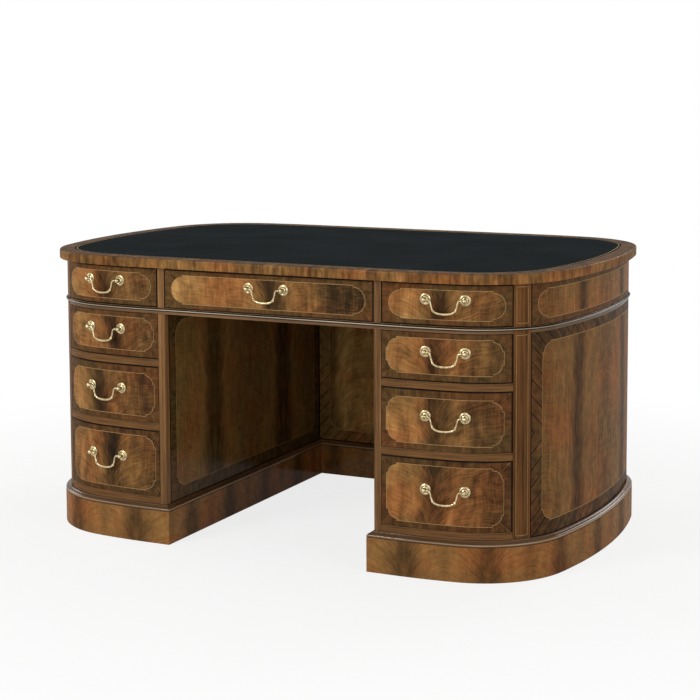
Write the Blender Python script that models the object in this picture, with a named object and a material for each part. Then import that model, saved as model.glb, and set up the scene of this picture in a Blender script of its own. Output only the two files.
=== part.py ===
"""Pedestal writing desk with bowed front, rounded ends, nine drawers and a leather-lined top.

Metres, +Z up. The origin is on the floor under the middle of the desk.
The drawers face -Y and the long side runs along X.
"""
import math

import bmesh
import bpy
from mathutils import Matrix, Vector

# Plan of the case, measured without the overhanging top
CASE_LENGTH = 1.5228
CASE_DEPTH = 0.9858
FRONT_BOW_RADIUS = 1.237
FRONT_BOW_SWEEP = math.radians(7.545)
CORNER_RADIUS = 0.2343
END_BOW_RADIUS = 1.4443

# Heights: the whole desk, then what it is made of from the floor upwards
DESK_HEIGHT = 0.775
PLINTH_HEIGHT = 0.090
PLINTH_MOULDING_HEIGHT = 0.015
FLOOR_THICKNESS = 0.0183
RAIL_HEIGHT = 0.019
FRIEZE_FRAME_THICKNESS = 0.0165
FRIEZE_OPENING_HEIGHT = 0.1087
TOP_THICKNESS = 0.0253

# The pedestal drawers are graduated: shares of the height that their three openings have together
LOWER_OPENING_SHARE = 0.3944
MIDDLE_OPENING_SHARE = 0.3368

# Widths and depths inside the case
KNEEHOLE_WIDTH = 0.618
KNEEHOLE_BACK_RECESS = 0.0514
SIDE_THICKNESS = 0.020
PEDESTAL_END_WIDTH = 0.1034
CORNER_STILE_WIDTH = 0.0496
WALL_THICKNESS = 0.022

# Plinth, bead and top edge
PLINTH_PROJECTION = 0.0155
PLINTH_BOARD_THICKNESS = 0.018
BEAD_PROJECTION = 0.005
BEAD_HEIGHT = 0.008
BEAD_SET_DOWN = 0.001
TOP_OVERHANG = 0.0205
TOP_EDGE_ROUND = 0.004
LEATHER_BORDER_WIDTH = 0.042
LEATHER_RECESS_DEPTH = 0.0015

# Drawers
DRAWER_GAP = 0.0015
FRIEZE_HEAD_GAP = 0.0037
DRAWER_FRONT_THICKNESS = 0.022
PEDESTAL_DRAWER_LENGTH = 0.640
FRIEZE_DRAWER_LENGTH = 0.560
DRAWER_BOARD_THICKNESS = 0.010
DRAWER_SIDE_INSET = 0.0005
DRAWER_BOTTOM_THICKNESS = 0.008
DRAWER_SIDE_SET_DOWN = 0.010
GUIDE_WIDTH = 0.018
GUIDE_HEIGHT = 0.020
GUIDE_END_CLEARANCE = 0.010

# Pulls: a pair of turned posts and a swan-necked bail
PULL_SPAN = 0.103
PULL_STANDOFF = 0.014
ROSETTE_RADIUS = 0.0145
POST_NECK_RADIUS = 0.0036
POST_HEAD_RADIUS = 0.006
BAIL_DROP = 0.035
BAIL_RADIUS = 0.0031

# Where a pull sits on its drawer front: the share of the front's height above its posts
PULL_DROP_SHARES = {"lower": 0.432, "middle": 0.429, "upper": 0.384, "frieze": 0.364}

# Fits and finish of the curves
JOINT_GAP = 0.0003
CUT_OVERRUN = 0.005
CHORD_TOLERANCE = 0.0005
ROUND_STEPS = 3
BEAD_STEPS = 4
POST_SEGMENTS = 10
HEAD_RINGS = 4
BAIL_SIDES = 6
SMOOTH_ANGLE = math.radians(35)

# Plinth moulding section: outward share of the projection, upward share of the height
MOULDING_SECTION_SHARES = [
    (0.93, 0.0), (1.0, 0.14), (0.95, 0.40), (0.78, 0.62), (0.52, 0.74), (0.33, 0.82), (0.22, 1.0),
]
# Rosette section: share of its radius, share of the post's standoff
ROSETTE_SECTION_SHARES = [(1.0, 0.0), (1.0, 0.09), (0.84, 0.19), (0.62, 0.13), (0.45, 0.26)]
# Half of the bail from its end to its middle: share of half the span, share of the drop,
# and share of the full radius there
BAIL_PATH_SHARES = [
    (0.80, 0.0, 0.66), (0.735, 0.03, 0.66), (0.685, 0.12, 0.70), (0.655, 0.27, 0.75),
    (0.63, 0.45, 0.80), (0.59, 0.62, 0.85), (0.545, 0.755, 1.18), (0.48, 0.85, 0.92),
    (0.30, 0.955, 1.0), (0.0, 1.0, 1.0),
]

# Finishes: linear colour, roughness, metallic
FINISHES = {
    "veneer": ((0.150, 0.058, 0.021), 0.32, 0.0),
    "solid_wood": ((0.105, 0.040, 0.016), 0.36, 0.0),
    "leather": ((0.012, 0.013, 0.017), 0.45, 0.0),
    "brass": ((0.520, 0.400, 0.190), 0.30, 1.0),
}

HALF_LENGTH = CASE_LENGTH / 2
HALF_DEPTH = CASE_DEPTH / 2
KNEEHOLE_HALF = KNEEHOLE_WIDTH / 2
KNEEHOLE_BACK_Y = HALF_DEPTH - KNEEHOLE_BACK_RECESS - WALL_THICKNESS
OPENING_START_X = KNEEHOLE_HALF + SIDE_THICKNESS
OPENING_END_X = HALF_LENGTH - PEDESTAL_END_WIDTH

# Levels that the openings, frames and carcase sit between
PEDESTAL_BASE_Z = PLINTH_HEIGHT + PLINTH_MOULDING_HEIGHT
LOWER_OPENING_Z = PEDESTAL_BASE_Z + FLOOR_THICKNESS
TOP_Z = DESK_HEIGHT - TOP_THICKNESS
FRIEZE_OPENING_Z = TOP_Z - FRIEZE_OPENING_HEIGHT
FRIEZE_FRAME_Z = FRIEZE_OPENING_Z - FRIEZE_FRAME_THICKNESS
DRAWER_SPACE = FRIEZE_FRAME_Z - LOWER_OPENING_Z - 2 * RAIL_HEIGHT
LOWER_RAIL_Z = LOWER_OPENING_Z + LOWER_OPENING_SHARE * DRAWER_SPACE
MIDDLE_OPENING_Z = LOWER_RAIL_Z + RAIL_HEIGHT
UPPER_RAIL_Z = MIDDLE_OPENING_Z + MIDDLE_OPENING_SHARE * DRAWER_SPACE
UPPER_OPENING_Z = UPPER_RAIL_Z + RAIL_HEIGHT


def plan_arcs():
    """Tangent arcs of one quarter of the plan: radius, sweep, turn already made and centre."""
    front_turn = FRONT_BOW_SWEEP
    front_bow_rise = FRONT_BOW_RADIUS * (1 - math.cos(front_turn))
    rise = HALF_DEPTH - front_bow_rise - CORNER_RADIUS * math.cos(front_turn)
    corner_turn = math.acos(rise / (END_BOW_RADIUS - CORNER_RADIUS))
    straight = (
        HALF_LENGTH
        - FRONT_BOW_RADIUS * math.sin(front_turn)
        - CORNER_RADIUS * (math.sin(corner_turn) - math.sin(front_turn))
        - END_BOW_RADIUS * (1 - math.sin(corner_turn))
    )
    turns = [0.0, front_turn, corner_turn, math.pi / 2]
    radii = [FRONT_BOW_RADIUS, CORNER_RADIUS, END_BOW_RADIUS]
    start = Vector((straight, -HALF_DEPTH))
    arcs = []
    for radius, turn, next_turn in zip(radii, turns, turns[1:]):
        centre = start - radius * Vector((math.sin(turn), -math.cos(turn)))
        arcs.append((radius, next_turn - turn, turn, centre))
        start = centre + radius * Vector((math.sin(next_turn), -math.cos(next_turn)))
    return straight, arcs


STRAIGHT_HALF, PLAN_ARCS = plan_arcs()
QUARTER_RUN = STRAIGHT_HALF + sum(radius * sweep for radius, sweep, _, _ in PLAN_ARCS)
BACK_MIDDLE_STATION = 2 * QUARTER_RUN
WHOLE_RUN = 4 * QUARTER_RUN


def quarter_point(station, offset):
    """Point of the right front quarter, station metres along it and offset metres outside it."""
    run = station - STRAIGHT_HALF
    if run <= 0:
        return Vector((station, -HALF_DEPTH - offset))
    for radius, sweep, turn, centre in PLAN_ARCS:
        angle = turn + run / radius
        if run <= radius * sweep:
            break
        run -= radius * sweep
    return centre + (radius + offset) * Vector((math.sin(angle), -math.cos(angle)))


def outline_point(station, offset=0.0):
    """Point of the whole plan outline: station 0 is the middle of the front, then towards +X."""
    station = math.remainder(station, WHOLE_RUN)
    reach = abs(station)
    if reach > QUARTER_RUN:
        point = quarter_point(BACK_MIDDLE_STATION - reach, offset)
        point.y = -point.y
    else:
        point = quarter_point(reach, offset)
    point.x = math.copysign(point.x, station)
    return point


def station_at_x(x, offset=0.0):
    """Station on the front half of the plan where the offset outline has this x."""
    if abs(x) <= STRAIGHT_HALF:
        return x
    run = STRAIGHT_HALF
    for radius, sweep, turn, centre in PLAN_ARCS:
        reach = (abs(x) - centre.x) / (radius + offset)
        if reach <= math.sin(turn + sweep):
            break
        run += radius * sweep
    return math.copysign(run + radius * (math.asin(reach) - turn), x)


OPENING_END_STATION = station_at_x(OPENING_END_X)
STILE_END_STATION = OPENING_END_STATION + CORNER_STILE_WIDTH


def quarter_knots():
    """Stations of one quarter: the corner stile's edges, and steps with short enough chords."""
    knots = [STRAIGHT_HALF]
    for radius, sweep, _, _ in PLAN_ARCS:
        steps = math.ceil(sweep / (2 * math.acos(1 - CHORD_TOLERANCE / radius)))
        start = knots[-1]
        knots += [start + radius * sweep * (i + 1) / steps for i in range(steps)]
    return sorted(knots + [OPENING_END_STATION, STILE_END_STATION])


QUARTER_KNOTS = quarter_knots()
HALF_KNOTS = QUARTER_KNOTS + [BACK_MIDDLE_STATION - knot for knot in reversed(QUARTER_KNOTS[:-1])]
LOOP_KNOTS = HALF_KNOTS + [WHOLE_RUN - knot for knot in reversed(HALF_KNOTS)]


def path(start, end, offset=0.0):
    """Points along the outline from one station to another, through the knots on the way."""
    knots = [knot - WHOLE_RUN for knot in LOOP_KNOTS] + LOOP_KNOTS
    stations = [start] + [knot for knot in knots if start < knot < end] + [end]
    return [outline_point(station, offset) for station in stations]


def front_line(x_low, x_high):
    """Front face of a piece between two places across the desk."""
    return path(station_at_x(x_low), station_at_x(x_high))


def clear_half_depth(x):
    """Half of the depth between the inner faces of the front and back walls at x."""
    inside = -WALL_THICKNESS - JOINT_GAP
    return -outline_point(station_at_x(x, inside), inside).y


def outline_loop(offset):
    """The whole outline as a closed loop."""
    return [outline_point(knot, offset) for knot in LOOP_KNOTS]


def mirrored(points, side):
    """Plan points for the right side, or turned over to the left where side is -1."""
    return [Vector((side * point.x, point.y)) for point in points]


def moved_back(points, distance):
    """Plan points moved straight back into the desk."""
    return [Vector((point.x, point.y + distance)) for point in points]


def clear_objects():
    """Empty the scene."""
    for item in list(bpy.data.objects):
        bpy.data.objects.remove(item, do_unlink=True)


def new_material(name, finish):
    """Principled material of one finish for one piece."""
    colour, roughness, metallic = FINISHES[finish]
    material = bpy.data.materials.new(f"{name} {finish}")
    material.use_nodes = True
    shader = material.node_tree.nodes["Principled BSDF"]
    shader.inputs["Base Color"].default_value = (*colour, 1.0)
    shader.inputs["Roughness"].default_value = roughness
    shader.inputs["Metallic"].default_value = metallic
    return material


def join_rings(bm, lower, upper):
    """Wall of quads between two rings of vertices."""
    count = len(lower)
    for i in range(count):
        j = (i + 1) % count
        bm.faces.new((lower[i], lower[j], upper[j], upper[i]))


def stack(loops):
    """Closed solid through a stack of equal loops, capped at both ends."""
    bm = bmesh.new()
    rings = [[bm.verts.new(point) for point in loop] for loop in loops]
    bm.faces.new(reversed(rings[0]))
    bm.faces.new(rings[-1])
    for lower, upper in zip(rings, rings[1:]):
        join_rings(bm, lower, upper)
    return bm


def band(loops):
    """Closed ring-shaped solid whose section runs through equal loops and back to the first."""
    bm = bmesh.new()
    rings = [[bm.verts.new(point) for point in loop] for loop in loops]
    for lower, upper in zip(rings, rings[1:] + rings[:1]):
        join_rings(bm, lower, upper)
    return bm


def at_height(plan_points, z):
    """Plan points lifted to a height."""
    return [Vector((point.x, point.y, z)) for point in plan_points]


def prism(plan_points, bottom, top):
    """Upright solid over a plan outline given in either direction."""
    closed = zip(plan_points, plan_points[1:] + plan_points[:1])
    area = sum(a.x * b.y - b.x * a.y for a, b in closed)
    if area < 0:
        plan_points = plan_points[::-1]
    return stack([at_height(plan_points, bottom), at_height(plan_points, top)])


def rectangle(x_low, x_high, y_low, y_high):
    """Plan rectangle."""
    corners = ((x_low, y_low), (x_high, y_low), (x_high, y_high), (x_low, y_high))
    return [Vector(corner) for corner in corners]


def temporary_object(bm):
    """Object that holds a mesh while it is joined or cut."""
    mesh = bpy.data.meshes.new("shape")
    bm.to_mesh(mesh)
    bm.free()
    shape = bpy.data.objects.new("shape", mesh)
    bpy.context.scene.collection.objects.link(shape)
    return shape


def combined(bm, other, operation):
    """The first mesh joined with the second (UNION) or cut by it (DIFFERENCE)."""
    base = temporary_object(bm)
    operand = temporary_object(other)
    modifier = base.modifiers.new("combine", "BOOLEAN")
    modifier.operation = operation
    modifier.object = operand
    result = bmesh.new()
    result.from_object(base, bpy.context.evaluated_depsgraph_get())
    for shape in (base, operand):
        bpy.data.meshes.remove(shape.data)
    return result


def add_piece(name, bm, finish, origin=None, turn=0.0, parent=None):
    """Object from a mesh built in desk coordinates, with its origin and turn about Z where given."""
    origin = origin if origin else Vector((0, 0, 0))
    placement = Matrix.Translation(origin) @ Matrix.Rotation(turn, 4, "Z")
    bm.transform(placement.inverted())
    mesh = bpy.data.meshes.new(name)
    bm.to_mesh(mesh)
    bm.free()
    mesh.shade_smooth()
    mesh.set_sharp_from_angle(angle=SMOOTH_ANGLE)
    mesh.materials.clear()
    mesh.materials.append(new_material(name, finish))
    piece = bpy.data.objects.new(name, mesh)
    bpy.context.scene.collection.objects.link(piece)
    if parent:
        piece.parent = parent
        origin = origin - parent.location
    piece.location = origin
    piece.rotation_euler.z = turn
    return piece


def add_slide(name, location):
    """Empty that carries the pieces of one drawer."""
    slide = bpy.data.objects.new(name, None)
    bpy.context.scene.collection.objects.link(slide)
    slide.location = location
    return slide


def wall_outline(start, end):
    """Plan of a wall that follows the outline between two stations."""
    return path(start, end) + path(start, end, -WALL_THICKNESS)[::-1]


def front_stile_outline():
    """Plan of the corner stile beside the drawers, with a flat face along the opening."""
    inner_start = station_at_x(OPENING_END_X, -WALL_THICKNESS)
    inner = path(inner_start, STILE_END_STATION, -WALL_THICKNESS)
    return path(OPENING_END_STATION, STILE_END_STATION) + inner[::-1]


def shelf_outline():
    """Plan of a pedestal board: its front edge shows between the stiles, its back fills the case."""
    inside = -WALL_THICKNESS - JOINT_GAP
    x_low = OPENING_START_X + JOINT_GAP
    x_high = OPENING_END_X - JOINT_GAP
    back_end = BACK_MIDDLE_STATION - station_at_x(x_low, inside)
    return front_line(x_low, x_high) + path(station_at_x(x_high, inside), back_end, inside)


def frieze_frame_outline():
    """Plan of the board over both pedestals, cut away behind the front corner stiles."""
    inside = -WALL_THICKNESS - JOINT_GAP
    x_high = OPENING_END_X - JOINT_GAP
    stile_end = STILE_END_STATION + JOINT_GAP
    front = front_line(0.0, x_high)
    behind = path(station_at_x(x_high, inside), stile_end, inside)
    rest = path(stile_end, BACK_MIDDLE_STATION)
    right = front[1:] + behind + rest[:-1]
    return right + mirrored(right[::-1], -1)


def guide(side, board_bottom, board_top, drawer_length):
    """Strip on a board that keeps a drawer straight along its outer side."""
    inside = -WALL_THICKNESS - JOINT_GAP
    x_low = OPENING_END_X
    x_high = x_low + GUIDE_WIDTH
    y_low = outline_point(station_at_x(x_high, inside), inside).y + GUIDE_END_CLEARANCE
    strip = rectangle(x_low, x_high, y_low, drawer_length - HALF_DEPTH)
    return prism(mirrored(strip, side), (board_bottom + board_top) / 2, board_top + GUIDE_HEIGHT)


def plinth_loop(offset):
    """Closed plan loop round both pedestals and the kneehole back, offset outside their faces."""
    x = KNEEHOLE_HALF - offset
    y_panel_front = KNEEHOLE_BACK_Y - offset
    y_panel_back = KNEEHOLE_BACK_Y + WALL_THICKNESS + offset
    corner = outline_point(station_at_x(x, offset), offset)
    after_corner = station_at_x(KNEEHOLE_HALF) + PLINTH_BOARD_THICKNESS
    before_corner = BACK_MIDDLE_STATION - after_corner
    right = [corner]
    right += [outline_point(knot, offset) for knot in HALF_KNOTS if after_corner < knot < before_corner]
    right += [Vector((corner.x, -corner.y)), Vector((x, y_panel_back))]
    left = mirrored(right[::-1], -1)
    return right + left + [Vector((-x, y_panel_front)), Vector((x, y_panel_front))]


def build_plinth():
    """Plinth frame of boards on edge, standing on the floor."""
    outer = PLINTH_PROJECTION
    inner = PLINTH_PROJECTION - PLINTH_BOARD_THICKNESS
    top = PLINTH_HEIGHT - JOINT_GAP
    section = [(outer, 0), (outer, top), (inner, top), (inner, 0)]
    add_piece("plinth", band([at_height(plinth_loop(offset), z) for offset, z in section]), "veneer")


def build_plinth_moulding():
    """Rounded moulding that steps in from the plinth to the pedestals."""
    height = PLINTH_MOULDING_HEIGHT - JOINT_GAP
    inner = PLINTH_PROJECTION - PLINTH_BOARD_THICKNESS
    section = [(out * PLINTH_PROJECTION, PLINTH_HEIGHT + up * height) for out, up in MOULDING_SECTION_SHARES]
    section += [(inner, PLINTH_HEIGHT + height), (inner, PLINTH_HEIGHT)]
    loops = [at_height(plinth_loop(offset), z) for offset, z in section]
    add_piece("plinth_moulding", band(loops), "solid_wood")


def build_pedestal(side_name, side):
    """Fixed pieces of one pedestal: stiles, end panel, kneehole side and the boards between."""
    bottom = PEDESTAL_BASE_Z
    top = FRIEZE_FRAME_Z - JOINT_GAP
    clear_half = clear_half_depth(OPENING_START_X)
    end_start = STILE_END_STATION + JOINT_GAP
    end_stop = BACK_MIDDLE_STATION - station_at_x(KNEEHOLE_HALF)

    stile = mirrored(front_stile_outline(), side)
    add_piece(f"front_stile_{side_name}", prism(stile, bottom, TOP_Z - JOINT_GAP), "veneer")

    edge = rectangle(KNEEHOLE_HALF, OPENING_START_X, -HALF_DEPTH, WALL_THICKNESS - HALF_DEPTH)
    add_piece(f"centre_stile_{side_name}", prism(mirrored(edge, side), bottom, top), "solid_wood")

    board = rectangle(KNEEHOLE_HALF, OPENING_START_X, -clear_half, clear_half)
    add_piece(f"kneehole_side_{side_name}", prism(mirrored(board, side), bottom, top), "veneer")

    end_wall = wall_outline(end_start, end_stop)
    add_piece(f"end_panel_{side_name}", prism(mirrored(end_wall, side), bottom, top), "veneer")

    boards = [
        ("pedestal_floor", PEDESTAL_BASE_Z, LOWER_OPENING_Z),
        ("lower_frame", LOWER_RAIL_Z, MIDDLE_OPENING_Z),
        ("upper_frame", UPPER_RAIL_Z, UPPER_OPENING_Z),
    ]
    for name, board_bottom, board_top in boards:
        shelf = prism(mirrored(shelf_outline(), side), board_bottom, board_top)
        strip = guide(side, board_bottom, board_top, PEDESTAL_DRAWER_LENGTH)
        add_piece(f"{name}_{side_name}", combined(shelf, strip, "UNION"), "solid_wood")


def build_kneehole_back():
    """Panel that closes the back of the kneehole."""
    half = KNEEHOLE_HALF - JOINT_GAP
    board = rectangle(-half, half, KNEEHOLE_BACK_Y, KNEEHOLE_BACK_Y + WALL_THICKNESS)
    add_piece("kneehole_back", prism(board, PEDESTAL_BASE_Z, FRIEZE_FRAME_Z - JOINT_GAP), "veneer")


def build_frieze():
    """Frame over both pedestals, and the partitions and wall that stand on it."""
    top = TOP_Z - JOINT_GAP
    frame_top = FRIEZE_OPENING_Z - JOINT_GAP
    frame = prism(frieze_frame_outline(), FRIEZE_FRAME_Z, frame_top)
    back = clear_half_depth(OPENING_START_X)
    partition = rectangle(KNEEHOLE_HALF, OPENING_START_X, -HALF_DEPTH, back)
    for side_name, side in (("left", -1), ("right", 1)):
        strip = guide(side, FRIEZE_FRAME_Z, frame_top, FRIEZE_DRAWER_LENGTH)
        frame = combined(frame, strip, "UNION")
        board = prism(mirrored(partition, side), FRIEZE_OPENING_Z, top)
        add_piece(f"frieze_partition_{side_name}", board, "solid_wood")
    add_piece("frieze_frame", frame, "solid_wood")

    wall_start = STILE_END_STATION + JOINT_GAP
    wall = wall_outline(wall_start, WHOLE_RUN - wall_start)
    add_piece("frieze_wall", prism(wall, FRIEZE_OPENING_Z, top), "veneer")


def build_bead():
    """Half-round bead applied to the edge of the frieze frame all the way round."""
    middle = FRIEZE_OPENING_Z - BEAD_SET_DOWN - BEAD_HEIGHT / 2
    loops = []
    for i in range(BEAD_STEPS + 1):
        angle = math.pi * (i / BEAD_STEPS - 1 / 2)
        offset = JOINT_GAP + (BEAD_PROJECTION - JOINT_GAP) * math.cos(angle)
        loops.append(at_height(outline_loop(offset), middle + BEAD_HEIGHT / 2 * math.sin(angle)))
    add_piece("bead_moulding", band(loops), "solid_wood")


def rounded_edge(offset, corner_z, radius, start_angle):
    """Section points of a quarter round on an edge, from one flat face to the other."""
    centre_z = corner_z - math.copysign(radius, math.sin(start_angle + math.pi / 4))
    points = []
    for i in range(ROUND_STEPS + 1):
        angle = start_angle + math.pi / 2 * i / ROUND_STEPS
        points.append((offset - radius + radius * math.cos(angle), centre_z + radius * math.sin(angle)))
    return points


def build_top():
    """Top board with softened edges, and the leather let into it."""
    recess_offset = TOP_OVERHANG - LEATHER_BORDER_WIDTH
    recess_floor = DESK_HEIGHT - LEATHER_RECESS_DEPTH
    section = rounded_edge(TOP_OVERHANG, TOP_Z, TOP_EDGE_ROUND / 2, -math.pi / 2)
    section += rounded_edge(TOP_OVERHANG, DESK_HEIGHT, TOP_EDGE_ROUND, 0.0)
    section += [(recess_offset, DESK_HEIGHT), (recess_offset, recess_floor)]
    add_piece("desk_top", stack([at_height(outline_loop(offset), z) for offset, z in section]), "veneer")

    sheet = outline_loop(recess_offset - JOINT_GAP)
    add_piece("leather_inset", prism(sheet, recess_floor + JOINT_GAP, DESK_HEIGHT), "leather")


def drawer_solid(side, x_low, x_high, bottom, top, length):
    """Drawer glued up from its bowed front, sides, back and bottom."""
    face = front_line(x_low, x_high)
    front_plan = face + moved_back(face, DRAWER_FRONT_THICKNESS)[::-1]
    front = prism(mirrored(front_plan, side), bottom + DRAWER_GAP, top)

    x_low += DRAWER_SIDE_INSET
    x_high -= DRAWER_SIDE_INSET
    y_back = length - HALF_DEPTH
    box_bottom = bottom + JOINT_GAP
    box_top = top - DRAWER_SIDE_SET_DOWN
    fore = moved_back(front_line(x_low, x_high), DRAWER_FRONT_THICKNESS / 2)
    box_plan = fore + [Vector((x_high, y_back)), Vector((x_low, y_back))]
    box = prism(mirrored(box_plan, side), box_bottom, box_top)
    inside = rectangle(
        x_low + DRAWER_BOARD_THICKNESS,
        x_high - DRAWER_BOARD_THICKNESS,
        -HALF_DEPTH - CUT_OVERRUN,
        y_back - DRAWER_BOARD_THICKNESS,
    )
    cavity = prism(mirrored(inside, side), box_bottom + DRAWER_BOTTOM_THICKNESS, box_top + CUT_OVERRUN)
    return combined(front, combined(box, cavity, "DIFFERENCE"), "UNION")


def outward(station):
    """Direction that the outline faces at a station."""
    return (outline_point(station, WALL_THICKNESS) - outline_point(station)) / WALL_THICKNESS


def post_section():
    """Section of a post from the drawer front outwards: rosette, neck and round head."""
    section = []
    for out, up in ROSETTE_SECTION_SHARES:
        section.append((out * ROSETTE_RADIUS, JOINT_GAP + up * PULL_STANDOFF))
    neck_angle = math.asin(POST_NECK_RADIUS / POST_HEAD_RADIUS)
    for i in range(HEAD_RINGS + 1):
        angle = neck_angle + (math.pi - 2 * neck_angle) * i / HEAD_RINGS
        reach = PULL_STANDOFF - POST_HEAD_RADIUS * math.cos(angle)
        section.append((POST_HEAD_RADIUS * math.sin(angle), reach))
    return section


def post(foot, facing):
    """Turned post that stands on the drawer front at foot."""
    across = Vector((-facing.y, facing.x, 0))
    up = facing.cross(across)
    loops = []
    for radius, reach in post_section():
        ring = []
        for i in range(POST_SEGMENTS):
            angle = 2 * math.pi * i / POST_SEGMENTS
            ring.append(foot + reach * facing + radius * (math.cos(angle) * across + math.sin(angle) * up))
        loops.append(ring)
    return stack(loops)


def bail_line(half_span):
    """Centre line of the hanging bail from end to end: place along its axis, height, radius."""
    end = (half_span - POST_HEAD_RADIUS - JOINT_GAP, 0.0, BAIL_RADIUS * BAIL_PATH_SHARES[0][2])
    half = [(x * half_span, -down * BAIL_DROP, wide * BAIL_RADIUS) for x, down, wide in BAIL_PATH_SHARES]
    half.insert(0, end)
    return half + [(-x, z, radius) for x, z, radius in half[-2::-1]]


def bail(middle, along, half_span):
    """Bar swept along the bail's line in the upright plane through its axis."""
    sideways = Vector((0, 0, 1)).cross(along)
    line = bail_line(half_span)
    centres = [middle + x * along + Vector((0, 0, z)) for x, z, _ in line]
    loops = []
    for i, (_, _, radius) in enumerate(line):
        before = centres[max(i - 1, 0)]
        after = centres[min(i + 1, len(centres) - 1)]
        upward = (after - before).normalized().cross(sideways)
        ring = []
        for k in range(BAIL_SIDES):
            angle = 2 * math.pi * k / BAIL_SIDES
            ring.append(centres[i] + radius * (math.cos(angle) * sideways + math.sin(angle) * upward))
        loops.append(ring)
    return stack(loops)


def build_pull(key, side, middle_station, height, slide):
    """Posts fixed to the drawer front, and the bail that swings between them."""
    heads = []
    for station in (middle_station - side * PULL_SPAN / 2, middle_station + side * PULL_SPAN / 2):
        place = outline_point(station)
        normal = outward(station)
        foot = Vector((side * place.x, place.y, height))
        facing = Vector((side * normal.x, normal.y, 0))
        end = "right" if heads else "left"
        add_piece(f"{key}_post_{end}", post(foot, facing), "brass", foot, parent=slide)
        heads.append(foot + PULL_STANDOFF * facing)
    left, right = heads
    middle = (left + right) / 2
    along = (right - left).normalized()
    bar = bail(middle, along, (right - left).length / 2)
    add_piece(f"{key}_bail", bar, "brass", middle, math.atan2(along.y, along.x), slide)


def build_drawer(key, side, x_low, x_high, row):
    """One drawer with its pull, between the faces of its opening."""
    row_name, bottom, top, length = row
    pull_station = (station_at_x(x_low) + station_at_x(x_high)) / 2
    middle = outline_point(pull_station)
    slide_place = Vector((side * middle.x, middle.y, (bottom + top) / 2))
    slide = add_slide(f"{key}_slide", slide_place)
    solid = drawer_solid(side, x_low, x_high, bottom, top, length)
    add_piece(f"{key}_drawer", solid, "veneer", slide_place, parent=slide)
    front_height = top - bottom - DRAWER_GAP
    build_pull(key, side, pull_station, top - PULL_DROP_SHARES[row_name] * front_height, slide)


def build_drawers():
    """Three drawers in each pedestal and three across the frieze."""
    x_low = OPENING_START_X + DRAWER_GAP
    x_high = OPENING_END_X - DRAWER_GAP
    rows = [
        ("lower", LOWER_OPENING_Z, LOWER_RAIL_Z - DRAWER_GAP, PEDESTAL_DRAWER_LENGTH),
        ("middle", MIDDLE_OPENING_Z, UPPER_RAIL_Z - DRAWER_GAP, PEDESTAL_DRAWER_LENGTH),
        ("upper", UPPER_OPENING_Z, FRIEZE_FRAME_Z - DRAWER_GAP, PEDESTAL_DRAWER_LENGTH),
        ("frieze", FRIEZE_OPENING_Z, TOP_Z - FRIEZE_HEAD_GAP, FRIEZE_DRAWER_LENGTH),
    ]
    for side_name, side in (("left", -1), ("right", 1)):
        for row in rows:
            build_drawer(f"{side_name}_{row[0]}", side, x_low, x_high, row)
    half = KNEEHOLE_HALF - DRAWER_GAP
    build_drawer("centre_frieze", 1, -half, half, rows[-1])


def build_desk():
    """The whole desk, from the floor up."""
    clear_objects()
    build_plinth()
    build_plinth_moulding()
    for side_name, side in (("left", -1), ("right", 1)):
        build_pedestal(side_name, side)
    build_kneehole_back()
    build_frieze()
    build_bead()
    build_top()
    build_drawers()


build_desk()
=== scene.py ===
# %% [markdown]
# A pedestal writing desk with a bowed front, rounded ends and inlaid drawers.
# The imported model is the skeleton: every piece below takes its place from it and rides on
# one of its bodies, so that drawers and pulls still move.

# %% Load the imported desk
import math

import bmesh
import bpy
from mathutils import Matrix, Vector


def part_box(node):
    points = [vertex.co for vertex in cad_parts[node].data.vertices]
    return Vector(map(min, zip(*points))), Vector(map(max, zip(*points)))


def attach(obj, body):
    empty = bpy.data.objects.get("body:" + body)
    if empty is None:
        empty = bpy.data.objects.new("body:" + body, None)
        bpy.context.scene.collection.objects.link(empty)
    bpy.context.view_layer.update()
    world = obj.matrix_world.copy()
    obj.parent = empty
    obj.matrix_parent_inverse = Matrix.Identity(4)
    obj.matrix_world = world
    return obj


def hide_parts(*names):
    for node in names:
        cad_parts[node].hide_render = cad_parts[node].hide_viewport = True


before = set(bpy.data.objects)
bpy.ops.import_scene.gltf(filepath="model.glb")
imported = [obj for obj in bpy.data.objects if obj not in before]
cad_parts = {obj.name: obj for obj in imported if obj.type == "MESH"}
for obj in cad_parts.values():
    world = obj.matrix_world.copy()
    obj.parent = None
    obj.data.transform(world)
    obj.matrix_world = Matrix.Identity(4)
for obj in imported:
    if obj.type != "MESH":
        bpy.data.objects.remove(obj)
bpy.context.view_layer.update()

# %% [markdown]
# The camera repeats the photograph's view. It was fitted to the outlines of the top, the bead
# and the plinth, so its numbers are a place, three turns and a focal length. The view is
# shifted a little, as a photographer's rise does, so that upright edges stay nearly upright.

# %% Camera
CAMERA_PLACE = Vector((2.18383, -4.49259, 1.3084))
CAMERA_YAW = 0.44959
CAMERA_PITCH = 0.09778
CAMERA_ROLL = -0.00382
SENSOR_WIDTH = 36.0
FOCAL_LENGTH = 91.078
SHIFT_X = -0.0051
SHIFT_Y = -0.1714

level_turn = Matrix.Rotation(CAMERA_YAW, 4, "Z") @ Matrix.Rotation(math.pi / 2 - CAMERA_PITCH, 4, "X")
camera_data = bpy.data.cameras.new("photo_camera")
camera_data.sensor_width = SENSOR_WIDTH
camera_data.lens = FOCAL_LENGTH
camera_data.shift_x = SHIFT_X
camera_data.shift_y = SHIFT_Y
camera = bpy.data.objects.new("photo_camera", camera_data)
bpy.context.scene.collection.objects.link(camera)
camera.matrix_world = (
    Matrix.Translation(CAMERA_PLACE) @ level_turn @ Matrix.Rotation(CAMERA_ROLL, 4, "Z")
)
bpy.context.scene.camera = camera
print("camera", round(CAMERA_PLACE.length, 2), "m from the desk's origin")

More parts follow.
